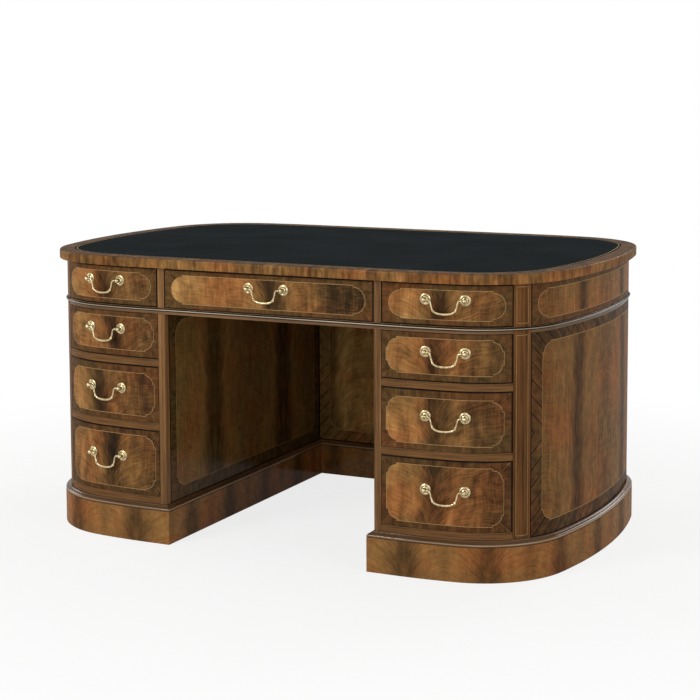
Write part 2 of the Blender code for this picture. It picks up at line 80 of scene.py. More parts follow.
# %% [markdown]
# Every material here is a small network of nodes. One helper adds a node, sets it and links it,
# which keeps each network readable: a colour ramp is a node like the rest, with stops as one more
# setting. Another helper turns the sRGB colours that a maker would read off a sample board into
# the linear numbers that the shader works with. Two more hold patterns that wood needs often:
# noise drawn out along the fibres, and a noise that swings a tone evenly up and down.

# %% Helpers for nodes and colours
MATH = "ShaderNodeMath"
VECTOR = "ShaderNodeVectorMath"
NOISE = "ShaderNodeTexNoise"
MIX = "ShaderNodeMix"
RANGE = "ShaderNodeMapRange"
RAMP = "ShaderNodeValToRGB"


def linear(hex_colour):
    """Linear RGBA of an sRGB colour such as #8A5A2B."""
    channels = [int(hex_colour[i:i + 2], 16) / 255 for i in (1, 3, 5)]
    curve = [c / 12.92 if c <= 0.04045 else ((c + 0.055) / 1.055) ** 2.4 for c in channels]
    return (*curve, 1.0)


def add(tree, kind, inputs=(), stops=(), **settings):
    """Adds a node. inputs gives sockets a value, or the node or output that feeds them. stops
    are the positions and sRGB colours of a colour ramp."""
    node = tree.nodes.new(kind)
    for name, value in settings.items():
        setattr(node, name, value)
    for number, (position, colour) in enumerate(stops):
        elements = node.color_ramp.elements
        element = elements[number] if number < len(elements) else elements.new(position)
        element.position = position
        element.color = linear(colour)
    for socket, value in dict(inputs).items():
        if isinstance(value, bpy.types.Node):
            value = value.outputs[0]
        if isinstance(value, bpy.types.NodeSocket):
            tree.links.new(value, node.inputs[socket])
        else:
            node.inputs[socket].default_value = value
    return node


def new_material(name):
    """Material with an empty network, and its tree."""
    material = bpy.data.materials.new(name)
    material.use_nodes = True
    material.node_tree.nodes.clear()
    return material, material.node_tree


def drawn_out(tree, place, sizes, inputs):
    """Noise whose patches have these sizes. A direction of size 0 doesn't count."""
    counts = [1 / size if size else 0.0 for size in sizes]
    steps = add(tree, VECTOR, {0: place, 1: counts}, operation="MULTIPLY")
    return add(tree, NOISE, {"Vector": steps, **inputs}, noise_dimensions="4D")


def swing(tree, noise, share, base):
    """Adds a share of a noise to a base value, evenly up and down."""
    centred = add(tree, MATH, {0: noise, 1: -0.5}, operation="ADD")
    return add(tree, MATH, {0: centred, 1: share, 2: base}, operation="MULTIPLY_ADD")


print("mid brown veneer in linear numbers:", [round(c, 3) for c in linear("#7A5430")[:3]])

# %% [markdown]
# The plan of the case is drawn with tangent arcs: a straight piece in the middle of the front,
# a shallow bow, a tight corner and a long shallow bow round the end. A place on it is named by
# its station, the distance along the outline from the middle of the front. Anything that
# follows the outline, such as a rail, a bead or a line of inlay, is then laid out flat in
# stations and heights, as a cabinetmaker draws it, and bent round the desk by one function.

# %% Plan outline
FRONT_BOW_RADIUS = 1.237
FRONT_BOW_SWEEP = math.radians(7.545)
CORNER_RADIUS = 0.2343
END_BOW_RADIUS = 1.4443
HALF_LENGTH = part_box("frieze_frame")[1].x
HALF_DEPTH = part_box("frieze_frame")[1].y


def plan_arcs():
    """Straight half of the front, then each arc's radius, sweep, turn before it and centre."""
    bow_rise = FRONT_BOW_RADIUS * (1 - math.cos(FRONT_BOW_SWEEP))
    rise = HALF_DEPTH - bow_rise - CORNER_RADIUS * math.cos(FRONT_BOW_SWEEP)
    corner_turn = math.acos(rise / (END_BOW_RADIUS - CORNER_RADIUS))
    straight = HALF_LENGTH - FRONT_BOW_RADIUS * math.sin(FRONT_BOW_SWEEP)
    straight -= CORNER_RADIUS * (math.sin(corner_turn) - math.sin(FRONT_BOW_SWEEP))
    straight -= END_BOW_RADIUS * (1 - math.sin(corner_turn))
    turns = [0.0, FRONT_BOW_SWEEP, corner_turn, math.pi / 2]
    radii = [FRONT_BOW_RADIUS, CORNER_RADIUS, END_BOW_RADIUS]
    start = Vector((straight, -HALF_DEPTH))
    arcs = []
    for radius, turn, next_turn in zip(radii, turns, turns[1:]):
        centre = start - radius * Vector((math.sin(turn), -math.cos(turn)))
        arcs.append((radius, next_turn - turn, turn, centre))
        start = centre + radius * Vector((math.sin(next_turn), -math.cos(next_turn)))
    return straight, arcs


STRAIGHT_HALF, PLAN_ARCS = plan_arcs()
QUARTER_RUN = STRAIGHT_HALF + sum(radius * sweep for radius, sweep, _, _ in PLAN_ARCS)
WHOLE_RUN = 4 * QUARTER_RUN


def outline(station, offset=0.0):
    """Plan point at a station, offset metres outside the case."""
    reach = abs(math.remainder(station, WHOLE_RUN))
    mirrored_back = reach > QUARTER_RUN
    run = (2 * QUARTER_RUN - reach if mirrored_back else reach) - STRAIGHT_HALF
    if run <= 0:
        point = Vector((run + STRAIGHT_HALF, -HALF_DEPTH - offset))
    else:
        for radius, sweep, turn, centre in PLAN_ARCS:
            angle = turn + run / radius
            if run <= radius * sweep:
                break
            run -= radius * sweep
        point = centre + (radius + offset) * Vector((math.sin(angle), -math.cos(angle)))
    if mirrored_back:
        point.y = -point.y
    point.x = math.copysign(point.x, math.remainder(station, WHOLE_RUN))
    return point


def facing(station):
    """Outward direction of the case at a station."""
    return (outline(station, 0.1) - outline(station)).normalized()


def station_at(x, offset=0.0):
    """Station on the right half of the front where the offset outline has this x."""
    low, high = 0.0, QUARTER_RUN
    for _ in range(50):
        middle = (low + high) / 2
        if outline(middle, offset).x < x:
            low = middle
        else:
            high = middle
    return low


print("once round the case:", round(WHOLE_RUN, 3), "m")

# %% [markdown]
# Curves are shown by short flat facets, so the facets must be too small to see. Each arc gets
# steps of its own: about two degrees on the tight corners, less on the long bows.

# %% Fine steps along the outline
CORNER_STEP = math.radians(2.0)
BOW_STEP = math.radians(0.75)


def quarter_marks():
    """Stations of one quarter, fine enough for a smooth curve."""
    marks = [STRAIGHT_HALF]
    for radius, sweep, _, _ in PLAN_ARCS:
        step = CORNER_STEP if radius == CORNER_RADIUS else BOW_STEP
        count = math.ceil(sweep / step)
        first = marks[-1]
        marks += [first + radius * sweep * (i + 1) / count for i in range(count)]
    return marks


QUARTER_MARKS = quarter_marks()
HALF_MARKS = QUARTER_MARKS + [2 * QUARTER_RUN - mark for mark in reversed(QUARTER_MARKS[:-1])]
RING_MARKS = HALF_MARKS + [WHOLE_RUN - mark for mark in reversed(HALF_MARKS)]


def marks_between(start, end):
    """The two ends and every fine mark between them."""
    ring = [mark - WHOLE_RUN for mark in RING_MARKS] + RING_MARKS
    return [start] + [mark for mark in ring if start + 1e-5 < mark < end - 1e-5] + [end]


print(len(RING_MARKS), "steps round the desk")

# %% [markdown]
# A veneered face is designed flat, so each piece carries its own flat coordinates, an attribute
# called place: metres along the piece, metres out of its face and metres up from its middle.
# The attribute is stored on face corners, so two fields on one piece can each have a middle
# of their own, and the patterns bend round the corners with the wood. Every edge that shows
# gets a small Bevel, because a sharp arris without a glint is what gives a model away.

# %% Solids that follow the outline
ARRIS = 0.0008
ARRIS_ANGLE = math.radians(35)
SAME_PLACE = 1e-6


def at(station, offset, z, side=1):
    """Point in the desk's frame. side -1 is the left half."""
    plan = outline(station, offset)
    return Vector((side * plan.x, plan.y, z))


def close_ends(bm, cap_slot):
    """Fills open ends, and gives the new corners the place of their neighbours."""
    layer = bm.loops.layers.float_vector["place"]
    open_edges = [edge for edge in bm.edges if edge.is_boundary]
    if open_edges:
        filled = bmesh.ops.holes_fill(bm, edges=open_edges, sides=0)["faces"]
        for face in filled:
            for loop in face.loops:
                near = [other for other in loop.vert.link_loops if other.face not in filled]
                loop[layer] = near[0][layer]
                face.material_index = near[0].face.material_index if cap_slot is None else cap_slot


def add_run(bm, runs, section, middle, side=1, closed=True):
    """Faces of a section swept along stations. A run is start, end, centre and material."""
    layer = bm.loops.layers.float_vector["place"]
    edges = list(zip(section, section[1:] + section[:1] if closed else section[1:]))
    for start, end, centre, slot in runs:
        marks = marks_between(start, end)
        for near, far in zip(marks, marks[1:]):
            for (out_a, z_a), (out_b, z_b) in edges:
                corners = [(near, out_a, z_a), (far, out_a, z_a), (far, out_b, z_b), (near, out_b, z_b)]
                face = bm.faces.new([bm.verts.new(at(s, o, z, side)) for s, o, z in corners])
                face.material_index = slot
                for loop, (s, o, z) in zip(face.loops, corners):
                    loop[layer] = (s - centre, o, z - middle)


def add_box(bm, low, high, place_of, slot=0):
    """Faces of a block, with places from a function of the point."""
    layer = bm.loops.layers.float_vector["place"]
    made = bmesh.ops.create_cube(bm, size=1.0)["verts"]
    size = Vector(high) - Vector(low)
    middle = (Vector(high) + Vector(low)) / 2
    for vert in made:
        vert.co = Vector(a * b for a, b in zip(vert.co, size)) + middle
    for face in {face for vert in made for face in vert.link_faces}:
        face.material_index = slot
        for loop in face.loops:
            loop[layer] = place_of(loop.vert.co)


def new_mesh():
    """Empty bmesh with the place attribute."""
    bm = bmesh.new()
    bm.loops.layers.float_vector.new("place")
    return bm


def new_piece(name, data):
    """Object at the origin that holds a mesh or a lamp."""
    piece = bpy.data.objects.new(name, data)
    bpy.context.scene.collection.objects.link(piece)
    return piece


def settle(piece, body, nodes=()):
    """Lets a piece ride on a body, in place of the nodes that it stands for."""
    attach(piece, body)
    if nodes:
        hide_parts(*nodes)


def smooth_mesh(name, bm):
    """Mesh of a bmesh, smooth, with its faces outwards."""
    bmesh.ops.recalc_face_normals(bm, faces=bm.faces)
    mesh = bpy.data.meshes.new(name)
    bm.to_mesh(mesh)
    bm.free()
    mesh.shade_smooth()
    return mesh


def finish_piece(name, bm, materials, body, nodes, arris=ARRIS, cap_slot=None, merge=True):
    """Turns a bmesh into a piece that rides on a body. Boards that only touch aren't merged."""
    if merge:
        bmesh.ops.remove_doubles(bm, verts=bm.verts, dist=SAME_PLACE)
        close_ends(bm, cap_slot)
    mesh = smooth_mesh(name, bm)
    for material in materials:
        mesh.materials.append(material)
    piece = new_piece(name, mesh)
    if arris:
        bevel = piece.modifiers.new("arris", "BEVEL")
        bevel.width = arris
        bevel.segments = 2
        bevel.limit_method = "ANGLE"
        bevel.angle_limit = ARRIS_ANGLE
        bevel.harden_normals = True
    else:
        mesh.set_sharp_from_angle(angle=ARRIS_ANGLE)
    settle(piece, body, nodes)


print("arrises are rounded by", ARRIS * 1000, "mm")

# %% [markdown]
# Flame veneer is cut where a trunk forks. A dark spine runs up the leaf, and paler plumes fall
# away from it on both sides with fine ripples across them. A scanned leaf would show this too,
# but every face needs a leaf of its own, so the figure is computed from the distance to a
# wandering spine: near it the tone is dark and the ripples dive steeply, further out they
# flatten, and slow noise breaks everything up. The sizes are those of real leaves, such as
# ripples 4 mm wide, and the shares say how much each part of the figure counts.

# %% Sizes and shares of the flame figure
RIPPLE_WIDTH = 0.0042
RIPPLE_LENGTH = 0.045
PLUME_WIDTH = 0.060
PLUME_LENGTH = 0.150
BLOTCH_SIZE = 0.022
STREAK_WIDTH = 0.0045
STREAK_LENGTH = 0.120
SPINE_WANDER = 0.050
WANDERS_PER_METRE = 9.0
SPINE_HALF_WIDTH = 0.045
SPINE_DARK_REACH = 0.052
SPINE_TONE = 0.11
SWIRLS_PER_METRE = 16.0
SWIRL_HEIGHT = 0.035
FADE_START_REACH = 0.07
FADE_END_REACH = 0.20
FADE_TONE = -0.10
MIDDLE_TONE = 0.50
FIGURE_SHARES = {
    "flame": {"Ripple": 0.62, "Plume": 1.05, "Blotch": 0.42, "Streak": 0.30, "Spine Depth": 0.37,
              "Contrast": 1.0},
    "calm": {"Ripple": 0.34, "Plume": 0.36, "Blotch": 0.34, "Streak": 0.46, "Spine Depth": 0.30,
             "Contrast": 1.0},
    "short": {"Ripple": 0.50, "Plume": 0.45, "Blotch": 0.50, "Streak": 0.22, "Spine Depth": 0.30,
              "Contrast": 0.9},
}
print("figures:", ", ".join(FIGURE_SHARES))

# %% [markdown]
# One node group holds the figure, so every leaf on the desk is cut from the same log, and only
# the seed, the spine's place and the shares differ. A first function bends the leaf's flat
# coordinates round the spine, and the group then lays ripples, plumes, blotches and streaks over
# one another. The ripples also come out as a relief, for a faint bump under the polish.

# %% Node group for the flame figure
def around_spine(tree, given):
    """How far each point lies from the wandering spine, its height, and the height that its
    ripple comes from."""
    split = add(tree, "ShaderNodeSeparateXYZ", {0: given.outputs["Place"]})
    x, z = split.outputs["X"], split.outputs["Z"]
    seed = given.outputs["Seed"]
    upright = add(tree, "ShaderNodeCombineXYZ", {"Z": z})
    wander = add(tree, NOISE, {"Vector": upright, "W": seed, "Scale": WANDERS_PER_METRE, "Detail": 1.0},
                 noise_dimensions="4D")
    bend = swing(tree, wander, SPINE_WANDER, x)
    from_spine = add(tree, MATH, {0: bend, 1: given.outputs["Spine"]}, operation="SUBTRACT")

    distance = add(tree, MATH, {0: from_spine}, operation="ABSOLUTE")
    fall = add(tree, MATH, {0: distance, 1: -1 / SPINE_HALF_WIDTH}, operation="MULTIPLY")
    fall = add(tree, MATH, {0: fall}, operation="EXPONENT")
    ridge = add(tree, MATH, {0: fall, 1: given.outputs["Dive"], 2: z}, operation="MULTIPLY_ADD")
    swirl = add(tree, NOISE, {"Vector": given.outputs["Place"], "W": seed, "Scale": SWIRLS_PER_METRE,
                              "Detail": 1.5}, noise_dimensions="4D")
    ridge = add(tree, MATH, {0: swirl, 1: SWIRL_HEIGHT, 2: ridge}, operation="MULTIPLY_ADD")
    return from_spine, distance, z, ridge


def flame_group():
    """Group: its inputs give the tone of the wood, from 0 for dark to 1 for pale."""
    tree = bpy.data.node_groups.new("flame figure", "ShaderNodeTree")
    face = tree.interface
    face.new_socket("Place", in_out="INPUT", socket_type="NodeSocketVector")
    for name in ("Spine", "Seed", "Dive", *FIGURE_SHARES["flame"]):
        face.new_socket(name, in_out="INPUT", socket_type="NodeSocketFloat")
    face.new_socket("Tone", in_out="OUTPUT", socket_type="NodeSocketFloat")
    face.new_socket("Relief", in_out="OUTPUT", socket_type="NodeSocketFloat")
    given = add(tree, "NodeGroupInput")
    seed = given.outputs["Seed"]
    from_spine, distance, z, ridge = around_spine(tree, given)

    fallen = add(tree, "ShaderNodeCombineXYZ", {"X": from_spine, "Z": ridge})
    ripple = drawn_out(tree, fallen, (RIPPLE_LENGTH, 0, RIPPLE_WIDTH),
                       {"W": seed, "Scale": 1.0, "Detail": 2.5, "Roughness": 0.55})
    plume = drawn_out(tree, fallen, (PLUME_WIDTH, 0, PLUME_LENGTH),
                      {"W": seed, "Scale": 1.6, "Detail": 3.0, "Roughness": 0.6})
    blotch = add(tree, NOISE, {"Vector": given.outputs["Place"], "W": seed, "Scale": 1 / BLOTCH_SIZE,
                               "Detail": 4.0, "Roughness": 0.6}, noise_dimensions="4D")
    standing = add(tree, "ShaderNodeCombineXYZ", {"X": from_spine, "Z": z})
    streak = drawn_out(tree, standing, (STREAK_WIDTH, 0, STREAK_LENGTH),
                       {"W": seed, "Scale": 1.0, "Detail": 2.0, "Distortion": 0.4})

    dip = add(tree, RANGE, {"Value": distance, "From Min": 0.0, "From Max": SPINE_DARK_REACH,
                            "To Min": -1.0, "To Max": 0.0}, interpolation_type="SMOOTHSTEP")
    base = add(tree, MATH, {0: dip, 1: given.outputs["Spine Depth"], 2: SPINE_TONE},
               operation="MULTIPLY_ADD")
    edge_fade = add(tree, RANGE, {"Value": distance, "From Min": FADE_START_REACH,
                                  "From Max": FADE_END_REACH, "To Min": 0.0, "To Max": FADE_TONE},
                    interpolation_type="SMOOTHSTEP")
    tone = add(tree, MATH, {0: base, 1: edge_fade}, operation="ADD")
    for noise, name in ((ripple, "Ripple"), (plume, "Plume"), (blotch, "Blotch"), (streak, "Streak")):
        tone = swing(tree, noise, given.outputs[name], tone)
    tone = add(tree, MATH, {0: tone, 1: given.outputs["Contrast"], 2: MIDDLE_TONE},
               operation="MULTIPLY_ADD")
    add(tree, "NodeGroupOutput", {"Tone": tone, "Relief": ripple})
    return tree


FLAME = flame_group()
print("flame figure:", len(FLAME.nodes), "nodes")

# %% [markdown]
# Each drawer front has a field of flame veneer, framed by a band whose grain runs across it.
# The field's corners are stepped and rounded, as ovolo corners. The two veneers could be faces
# of their own, but a joint in the mesh would have to bend round the desk with them. Instead the
# shape is worked out in the shader: it is the union of a tall block, a wide block and a disc at
# each corner, and the distance to that union tells which veneer a point belongs to. The same
# numbers later place the strings of inlay.

# %% Node group for the distance to a field's edge
def field_group():
    """Group: distance from a field with stepped round corners, negative inside."""
    tree = bpy.data.node_groups.new("field distance", "ShaderNodeTree")
    face = tree.interface
    for name in ("Place", "Tall", "Wide", "Corner"):
        face.new_socket(name, in_out="INPUT", socket_type="NodeSocketVector")
    face.new_socket("Round", in_out="INPUT", socket_type="NodeSocketFloat")
    face.new_socket("Distance", in_out="OUTPUT", socket_type="NodeSocketFloat")
    given = add(tree, "NodeGroupInput")
    flat = add(tree, VECTOR, {0: given.outputs["Place"], 1: (1, 0, 1)}, operation="MULTIPLY")
    flat = add(tree, VECTOR, {0: flat}, operation="ABSOLUTE")
    parts = []
    for name in ("Tall", "Wide"):
        past = add(tree, VECTOR, {0: flat, 1: given.outputs[name]}, operation="SUBTRACT")
        split = add(tree, "ShaderNodeSeparateXYZ", {0: past})
        parts.append(add(tree, MATH, {0: split.outputs["X"], 1: split.outputs["Z"]}, operation="MAXIMUM"))
    past = add(tree, VECTOR, {0: flat, 1: given.outputs["Corner"]}, operation="SUBTRACT")
    reach = add(tree, VECTOR, {0: past}, operation="LENGTH")
    parts.append(add(tree, MATH, {0: reach.outputs["Value"], 1: given.outputs["Round"]},
                     operation="SUBTRACT"))
    nearest = add(tree, MATH, {0: parts[0], 1: parts[1]}, operation="MINIMUM")
    nearest = add(tree, MATH, {0: nearest, 1: parts[2]}, operation="MINIMUM")
    add(tree, "NodeGroupOutput", {"Distance": nearest})
    return tree


FIELD = field_group()
OVOLO_CORNER = 0.0285
OVOLO_ROUND = 0.0235
ROUND_END_STEP = 0.0045


def field_shape(half_width, half_height, corner=OVOLO_CORNER, rounding=OVOLO_ROUND):
    """Numbers of one field, for its shader and for its string."""
    return {"half_width": half_width, "half_height": half_height, "corner": corner, "round": rounding}


def round_ended_field(half_width, half_height):
    """Low field, such as the friezes', whose whole ends are round."""
    return field_shape(half_width, half_height, half_height, half_height - ROUND_END_STEP)


print("field distance:", len(FIELD.nodes), "nodes")

# %% [markdown]
# The polish is a lacquer over the veneer: a smooth coat with its own sharp reflection, over wood
# that is a little rougher. To the eye that gives depth, with a soft sheen where a lamp glances
# off. Bare wood alone would look like chalk, and one glossy layer like plastic. The bump is
# faint, because polish shows almost none. The wood's colour drifts slowly from honey to russet.

# %% Polish over wood
HONEY_STOPS = [
    (0.0, "#20160A"), (0.22, "#3E2C16"), (0.45, "#644726"), (0.68, "#896236"), (0.88, "#A47945"),
    (1.0, "#B98E55"),
]
RUSSET_STOPS = [
    (0.0, "#22130A"), (0.22, "#462612"), (0.45, "#714120"), (0.68, "#985A2F"), (0.88, "#B27040"),
    (1.0, "#C58650"),
]
RUSSET_PATCH = 0.11
RUSSET_MOST = 0.6
WOOD_ROUGHNESS = 0.42
ROUGHNESS_SPREAD = 0.05
GRAIN_RELIEF = 0.00006
LACQUER_WEIGHT = 0.14
LACQUER_ROUGHNESS = 0.14


def new_veneer(name):
    """Material whose figure lies on a piece's flat coordinates: its tree, place and place split."""
    material, tree = new_material(name)
    place = add(tree, "ShaderNodeAttribute", attribute_name="place").outputs["Vector"]
    return material, tree, place, add(tree, "ShaderNodeSeparateXYZ", {0: place})


def wood_colour(tree, tone, place, seed):
    """Colour of a tone, drifting slowly from honey brown to russet."""
    honey = add(tree, RAMP, {0: tone}, HONEY_STOPS)
    russet = add(tree, RAMP, {0: tone}, RUSSET_STOPS)
    drift = add(tree, NOISE, {"Vector": place, "W": seed, "Scale": 1 / RUSSET_PATCH, "Detail": 2.0},
                noise_dimensions="4D")
    share = add(tree, RANGE, {"Value": drift, "From Min": 0.42, "From Max": 0.64, "To Min": 0.0,
                              "To Max": RUSSET_MOST})
    return add(tree, MIX, {0: share, 6: honey, 7: russet}, data_type="RGBA").outputs[2]


def polished(tree, colour, relief, coat=(LACQUER_WEIGHT, LACQUER_ROUGHNESS)):
    """Ends a material with wood under a coat of lacquer, given as weight and roughness."""
    bump = add(tree, "ShaderNodeBump", {"Strength": 0.5, "Distance": GRAIN_RELIEF, "Height": relief})
    rough = add(tree, RANGE, {"Value": relief, "From Min": 0.3, "From Max": 0.7,
                              "To Min": WOOD_ROUGHNESS - ROUGHNESS_SPREAD,
                              "To Max": WOOD_ROUGHNESS + ROUGHNESS_SPREAD})
    shader = add(tree, "ShaderNodeBsdfPrincipled", {
        "Base Color": colour, "Roughness": rough, "Normal": bump, "IOR": 1.5,
        "Specular IOR Level": 0.0, "Coat Weight": coat[0], "Coat Roughness": coat[1], "Coat IOR": 1.5,
    })
    add(tree, "ShaderNodeOutputMaterial", {"Surface": shader})


print("lacquer coat", LACQUER_WEIGHT, "rough", LACQUER_ROUGHNESS)

# %% [markdown]
# The band round a field is cut in strips whose fibres run across it. On the drawer fronts four
# strips meet in mitres, and the figure plumes out there. On the ends and the backs of the
# pedestals the band is a herring-bone of slanting leaves, each of its own tone, with a dark
# joint between them. Both are noise drawn out on turned coordinates, with the joint added.

# %% Bands round the fields
BAND_FIBRE_WIDTH = 0.0055
BAND_FIBRE_LENGTH = 0.045
BAND_FIBRE_SHARE = 0.42
BAND_CLOUD = 0.020
BAND_CLOUD_SHARE = 0.58
BAND_TONE = -0.14
MITRE_PLUME_REACH = 0.022
MITRE_PLUME_SHARE = 0.7
MITRE_PLUMES_PER_METRE = 170.0
CHEVRON_STEP = 0.043
CHEVRON_SPREAD = 0.16
JOINT_CORE = 0.0006
JOINT_REACH = 0.0030
JOINT_TONE = -0.34


def band_grain(tree, place, fibre, seed):
    """Tone of a band whose fibres run along fibre's Z, and the fibres alone."""
    fibre = drawn_out(tree, fibre, (BAND_FIBRE_WIDTH, 0, BAND_FIBRE_LENGTH),
                      {"W": seed, "Scale": 0.7, "Detail": 3.0, "Roughness": 0.6})
    cloud = add(tree, NOISE, {"Vector": place, "W": seed, "Scale": 1 / BAND_CLOUD, "Detail": 3.0},
                noise_dimensions="4D")
    tone = add(tree, MATH, {0: fibre, 1: BAND_FIBRE_SHARE, 2: BAND_TONE}, operation="MULTIPLY_ADD")
    tone = add(tree, MATH, {0: cloud, 1: BAND_CLOUD_SHARE, 2: tone}, operation="MULTIPLY_ADD")
    return tone, fibre


def mitred_band(tree, place, split, inward, at_side, seed, band_seed):
    """Band of four strips with mitres: its tone and its fibres. inward is how far a point lies
    inside the sides (X) and inside the top or foot (Z) of the face."""
    turned = add(tree, "ShaderNodeCombineXYZ", {"X": split.outputs["Z"], "Z": split.outputs["X"]})
    fibre = add(tree, MIX, {0: at_side, 4: place, 5: turned}, data_type="VECTOR").outputs[1]
    tone, fibre = band_grain(tree, place, fibre, band_seed)
    mitre = add(tree, MATH, {0: inward.outputs["X"], 1: inward.outputs["Z"]}, operation="SUBTRACT")
    off_mitre = add(tree, MATH, {0: mitre}, operation="ABSOLUTE")
    near_mitre = add(tree, RANGE, {"Value": off_mitre, "From Min": 0.0, "From Max": MITRE_PLUME_REACH,
                                   "To Min": MITRE_PLUME_SHARE, "To Max": 0.0},
                     interpolation_type="SMOOTHSTEP")
    plume = add(tree, "ShaderNodeCombineXYZ", {"X": mitre})
    plume = add(tree, NOISE, {"Vector": plume, "W": seed, "Scale": MITRE_PLUMES_PER_METRE,
                              "Detail": 1.0}, noise_dimensions="4D")
    return swing(tree, plume, near_mitre, tone), fibre


def feathered_band(tree, place, reach, band_seed):
    """Band of slanting leaves: its tone and its fibres. reach is the place without its signs."""
    split = add(tree, "ShaderNodeSeparateXYZ", {0: reach})
    across = add(tree, MATH, {0: split.outputs["Z"], 1: split.outputs["X"]}, operation="SUBTRACT")
    along = add(tree, MATH, {0: split.outputs["Z"], 1: split.outputs["X"]}, operation="ADD")
    fibre = add(tree, "ShaderNodeCombineXYZ", {"X": across, "Z": along})
    tone, fibre = band_grain(tree, place, fibre, band_seed)
    off_joint = add(tree, MATH, {0: across, 1: CHEVRON_STEP / 2}, operation="PINGPONG")
    joint = add(tree, RANGE, {"Value": off_joint, "From Min": JOINT_CORE, "From Max": JOINT_REACH,
                              "To Min": JOINT_TONE, "To Max": 0.0})
    tone = add(tree, MATH, {0: tone, 1: joint}, operation="ADD")
    number = add(tree, MATH, {0: across, 1: 1 / CHEVRON_STEP, 2: 0.5}, operation="MULTIPLY_ADD")
    number = add(tree, MATH, {0: number}, operation="FLOOR")
    shade = add(tree, "ShaderNodeTexWhiteNoise", {"W": number}, noise_dimensions="1D")
    return swing(tree, shade, CHEVRON_SPREAD, tone), fibre


print("a herring-bone leaf every", CHEVRON_STEP * 1000, "mm")

# %% [markdown]
# A veneered face is put together as at the bench: a leaf of flame in the field, or two leaves
# book-matched about a middle joint, then the band, then a thin dark line painted at the edge of
# the face as the shade of the gap round it. slope makes a leaf darker toward one side, and
# tone_shift sets the whole face a little darker or paler.

# %% Veneered faces
GAP_SHADE_WIDTH = 0.0031
GAP_SHADE_COLOUR = "#1A110B"


def veneered(name, field, outer, spine, seed, dive=0.09, feather=False, leaf=None, tone_shift=0.0,
             slope=0.0, figure="flame", tint=None):
    """Field of flame veneer in a crossbanded frame. outer is the half size of the whole face."""
    material, tree, place, split = new_veneer(name)
    inner_width = field["half_width"] - field["corner"]
    inner_height = field["half_height"] - field["corner"]
    distance = add(tree, "ShaderNodeGroup", {
        "Place": place, "Tall": (inner_width, 0, field["half_height"]),
        "Wide": (field["half_width"], 0, inner_height), "Corner": (inner_width, 0, inner_height),
        "Round": field["round"],
    }, node_tree=FIELD)
    outside = add(tree, MATH, {0: distance, 1: 0.0}, operation="GREATER_THAN")

    leaf_place = place
    if leaf:
        folded = add(tree, MATH, {0: split.outputs["X"], 1: leaf}, operation="PINGPONG")
        leaf_place = add(tree, "ShaderNodeCombineXYZ", {"X": folded, "Z": split.outputs["Z"]})
    flame = add(tree, "ShaderNodeGroup", {"Place": leaf_place, "Spine": spine, "Seed": seed, "Dive": dive,
                                          **FIGURE_SHARES[figure]}, node_tree=FLAME)
    flame_tone = add(tree, MATH, {0: split.outputs["X"], 1: slope, 2: flame.outputs["Tone"]},
                     operation="MULTIPLY_ADD")

    reach = add(tree, VECTOR, {0: place}, operation="ABSOLUTE")
    inward = add(tree, VECTOR, {0: (outer[0], 0, outer[1]), 1: reach}, operation="SUBTRACT")
    inward = add(tree, "ShaderNodeSeparateXYZ", {0: inward})
    at_side = add(tree, MATH, {0: inward.outputs["X"], 1: inward.outputs["Z"]}, operation="LESS_THAN")
    band_seed = add(tree, MATH, {0: at_side, 1: 3.7, 2: seed}, operation="MULTIPLY_ADD")
    if feather:
        band_tone, fibre = feathered_band(tree, place, reach, band_seed)
    else:
        band_tone, fibre = mitred_band(tree, place, split, inward, at_side, seed, band_seed)

    tone = add(tree, MIX, {0: outside, 2: flame_tone, 3: band_tone}, data_type="FLOAT")
    tone = add(tree, MATH, {0: tone.outputs[0], 1: tone_shift}, operation="ADD")
    colour = wood_colour(tree, tone, place, seed)
    if tint:
        colour = add(tree, MIX, {0: 1.0, 6: colour, 7: tint}, data_type="RGBA",
                     blend_type="MULTIPLY").outputs[2]
    # A thin dark line at the edge of the face is painted shade, standing for the gap round it.
    gap_shade = add(tree, MATH, {0: inward.outputs["X"], 1: inward.outputs["Z"]}, operation="MINIMUM")
    gap_shade = add(tree, RANGE, {"Value": gap_shade, "From Min": GAP_SHADE_WIDTH * 0.7, "From Max": GAP_SHADE_WIDTH,
                            "To Min": 1.0, "To Max": 0.0})
    on_face = add(tree, MATH, {0: split.outputs["Y"], 1: -2 * ARRIS}, operation="GREATER_THAN")
    gap_shade = add(tree, MATH, {0: gap_shade, 1: on_face}, operation="MULTIPLY")
    colour = add(tree, MIX, {0: gap_shade, 6: colour, 7: linear(GAP_SHADE_COLOUR)}, data_type="RGBA")
    relief = add(tree, MIX, {0: outside, 2: flame.outputs["Relief"], 3: fibre}, data_type="FLOAT")
    polished(tree, colour.outputs[2], relief.outputs[0])
    return material


print("edge lines", GAP_SHADE_WIDTH * 1000, "mm wide")

# %% [markdown]
# Rails, stiles and mouldings are solid wood of straight grain. Its fibres are long along one
# direction and narrow across, so noise is stretched the same way: fine pores over broad bands.
# The direction is a setting, because a rail's grain runs along it and a stile's runs up it. The
# pores are drawn a millimetre wide, coarser than real ones, so that they show at this distance.

# %% Straight-grained wood
PORE_WIDTH = 0.0011
PORE_LENGTH = 0.060
PORE_SHARE = 0.85
GRAIN_BAND = 0.011
GRAIN_BAND_LENGTH = 8 * PORE_LENGTH
GRAIN_BAND_SHARE = 1.5
STRAIGHT_TONE = -0.25
HIGHLIGHT_MOST = 0.8
HIGHLIGHT_PATCHES = 1.6


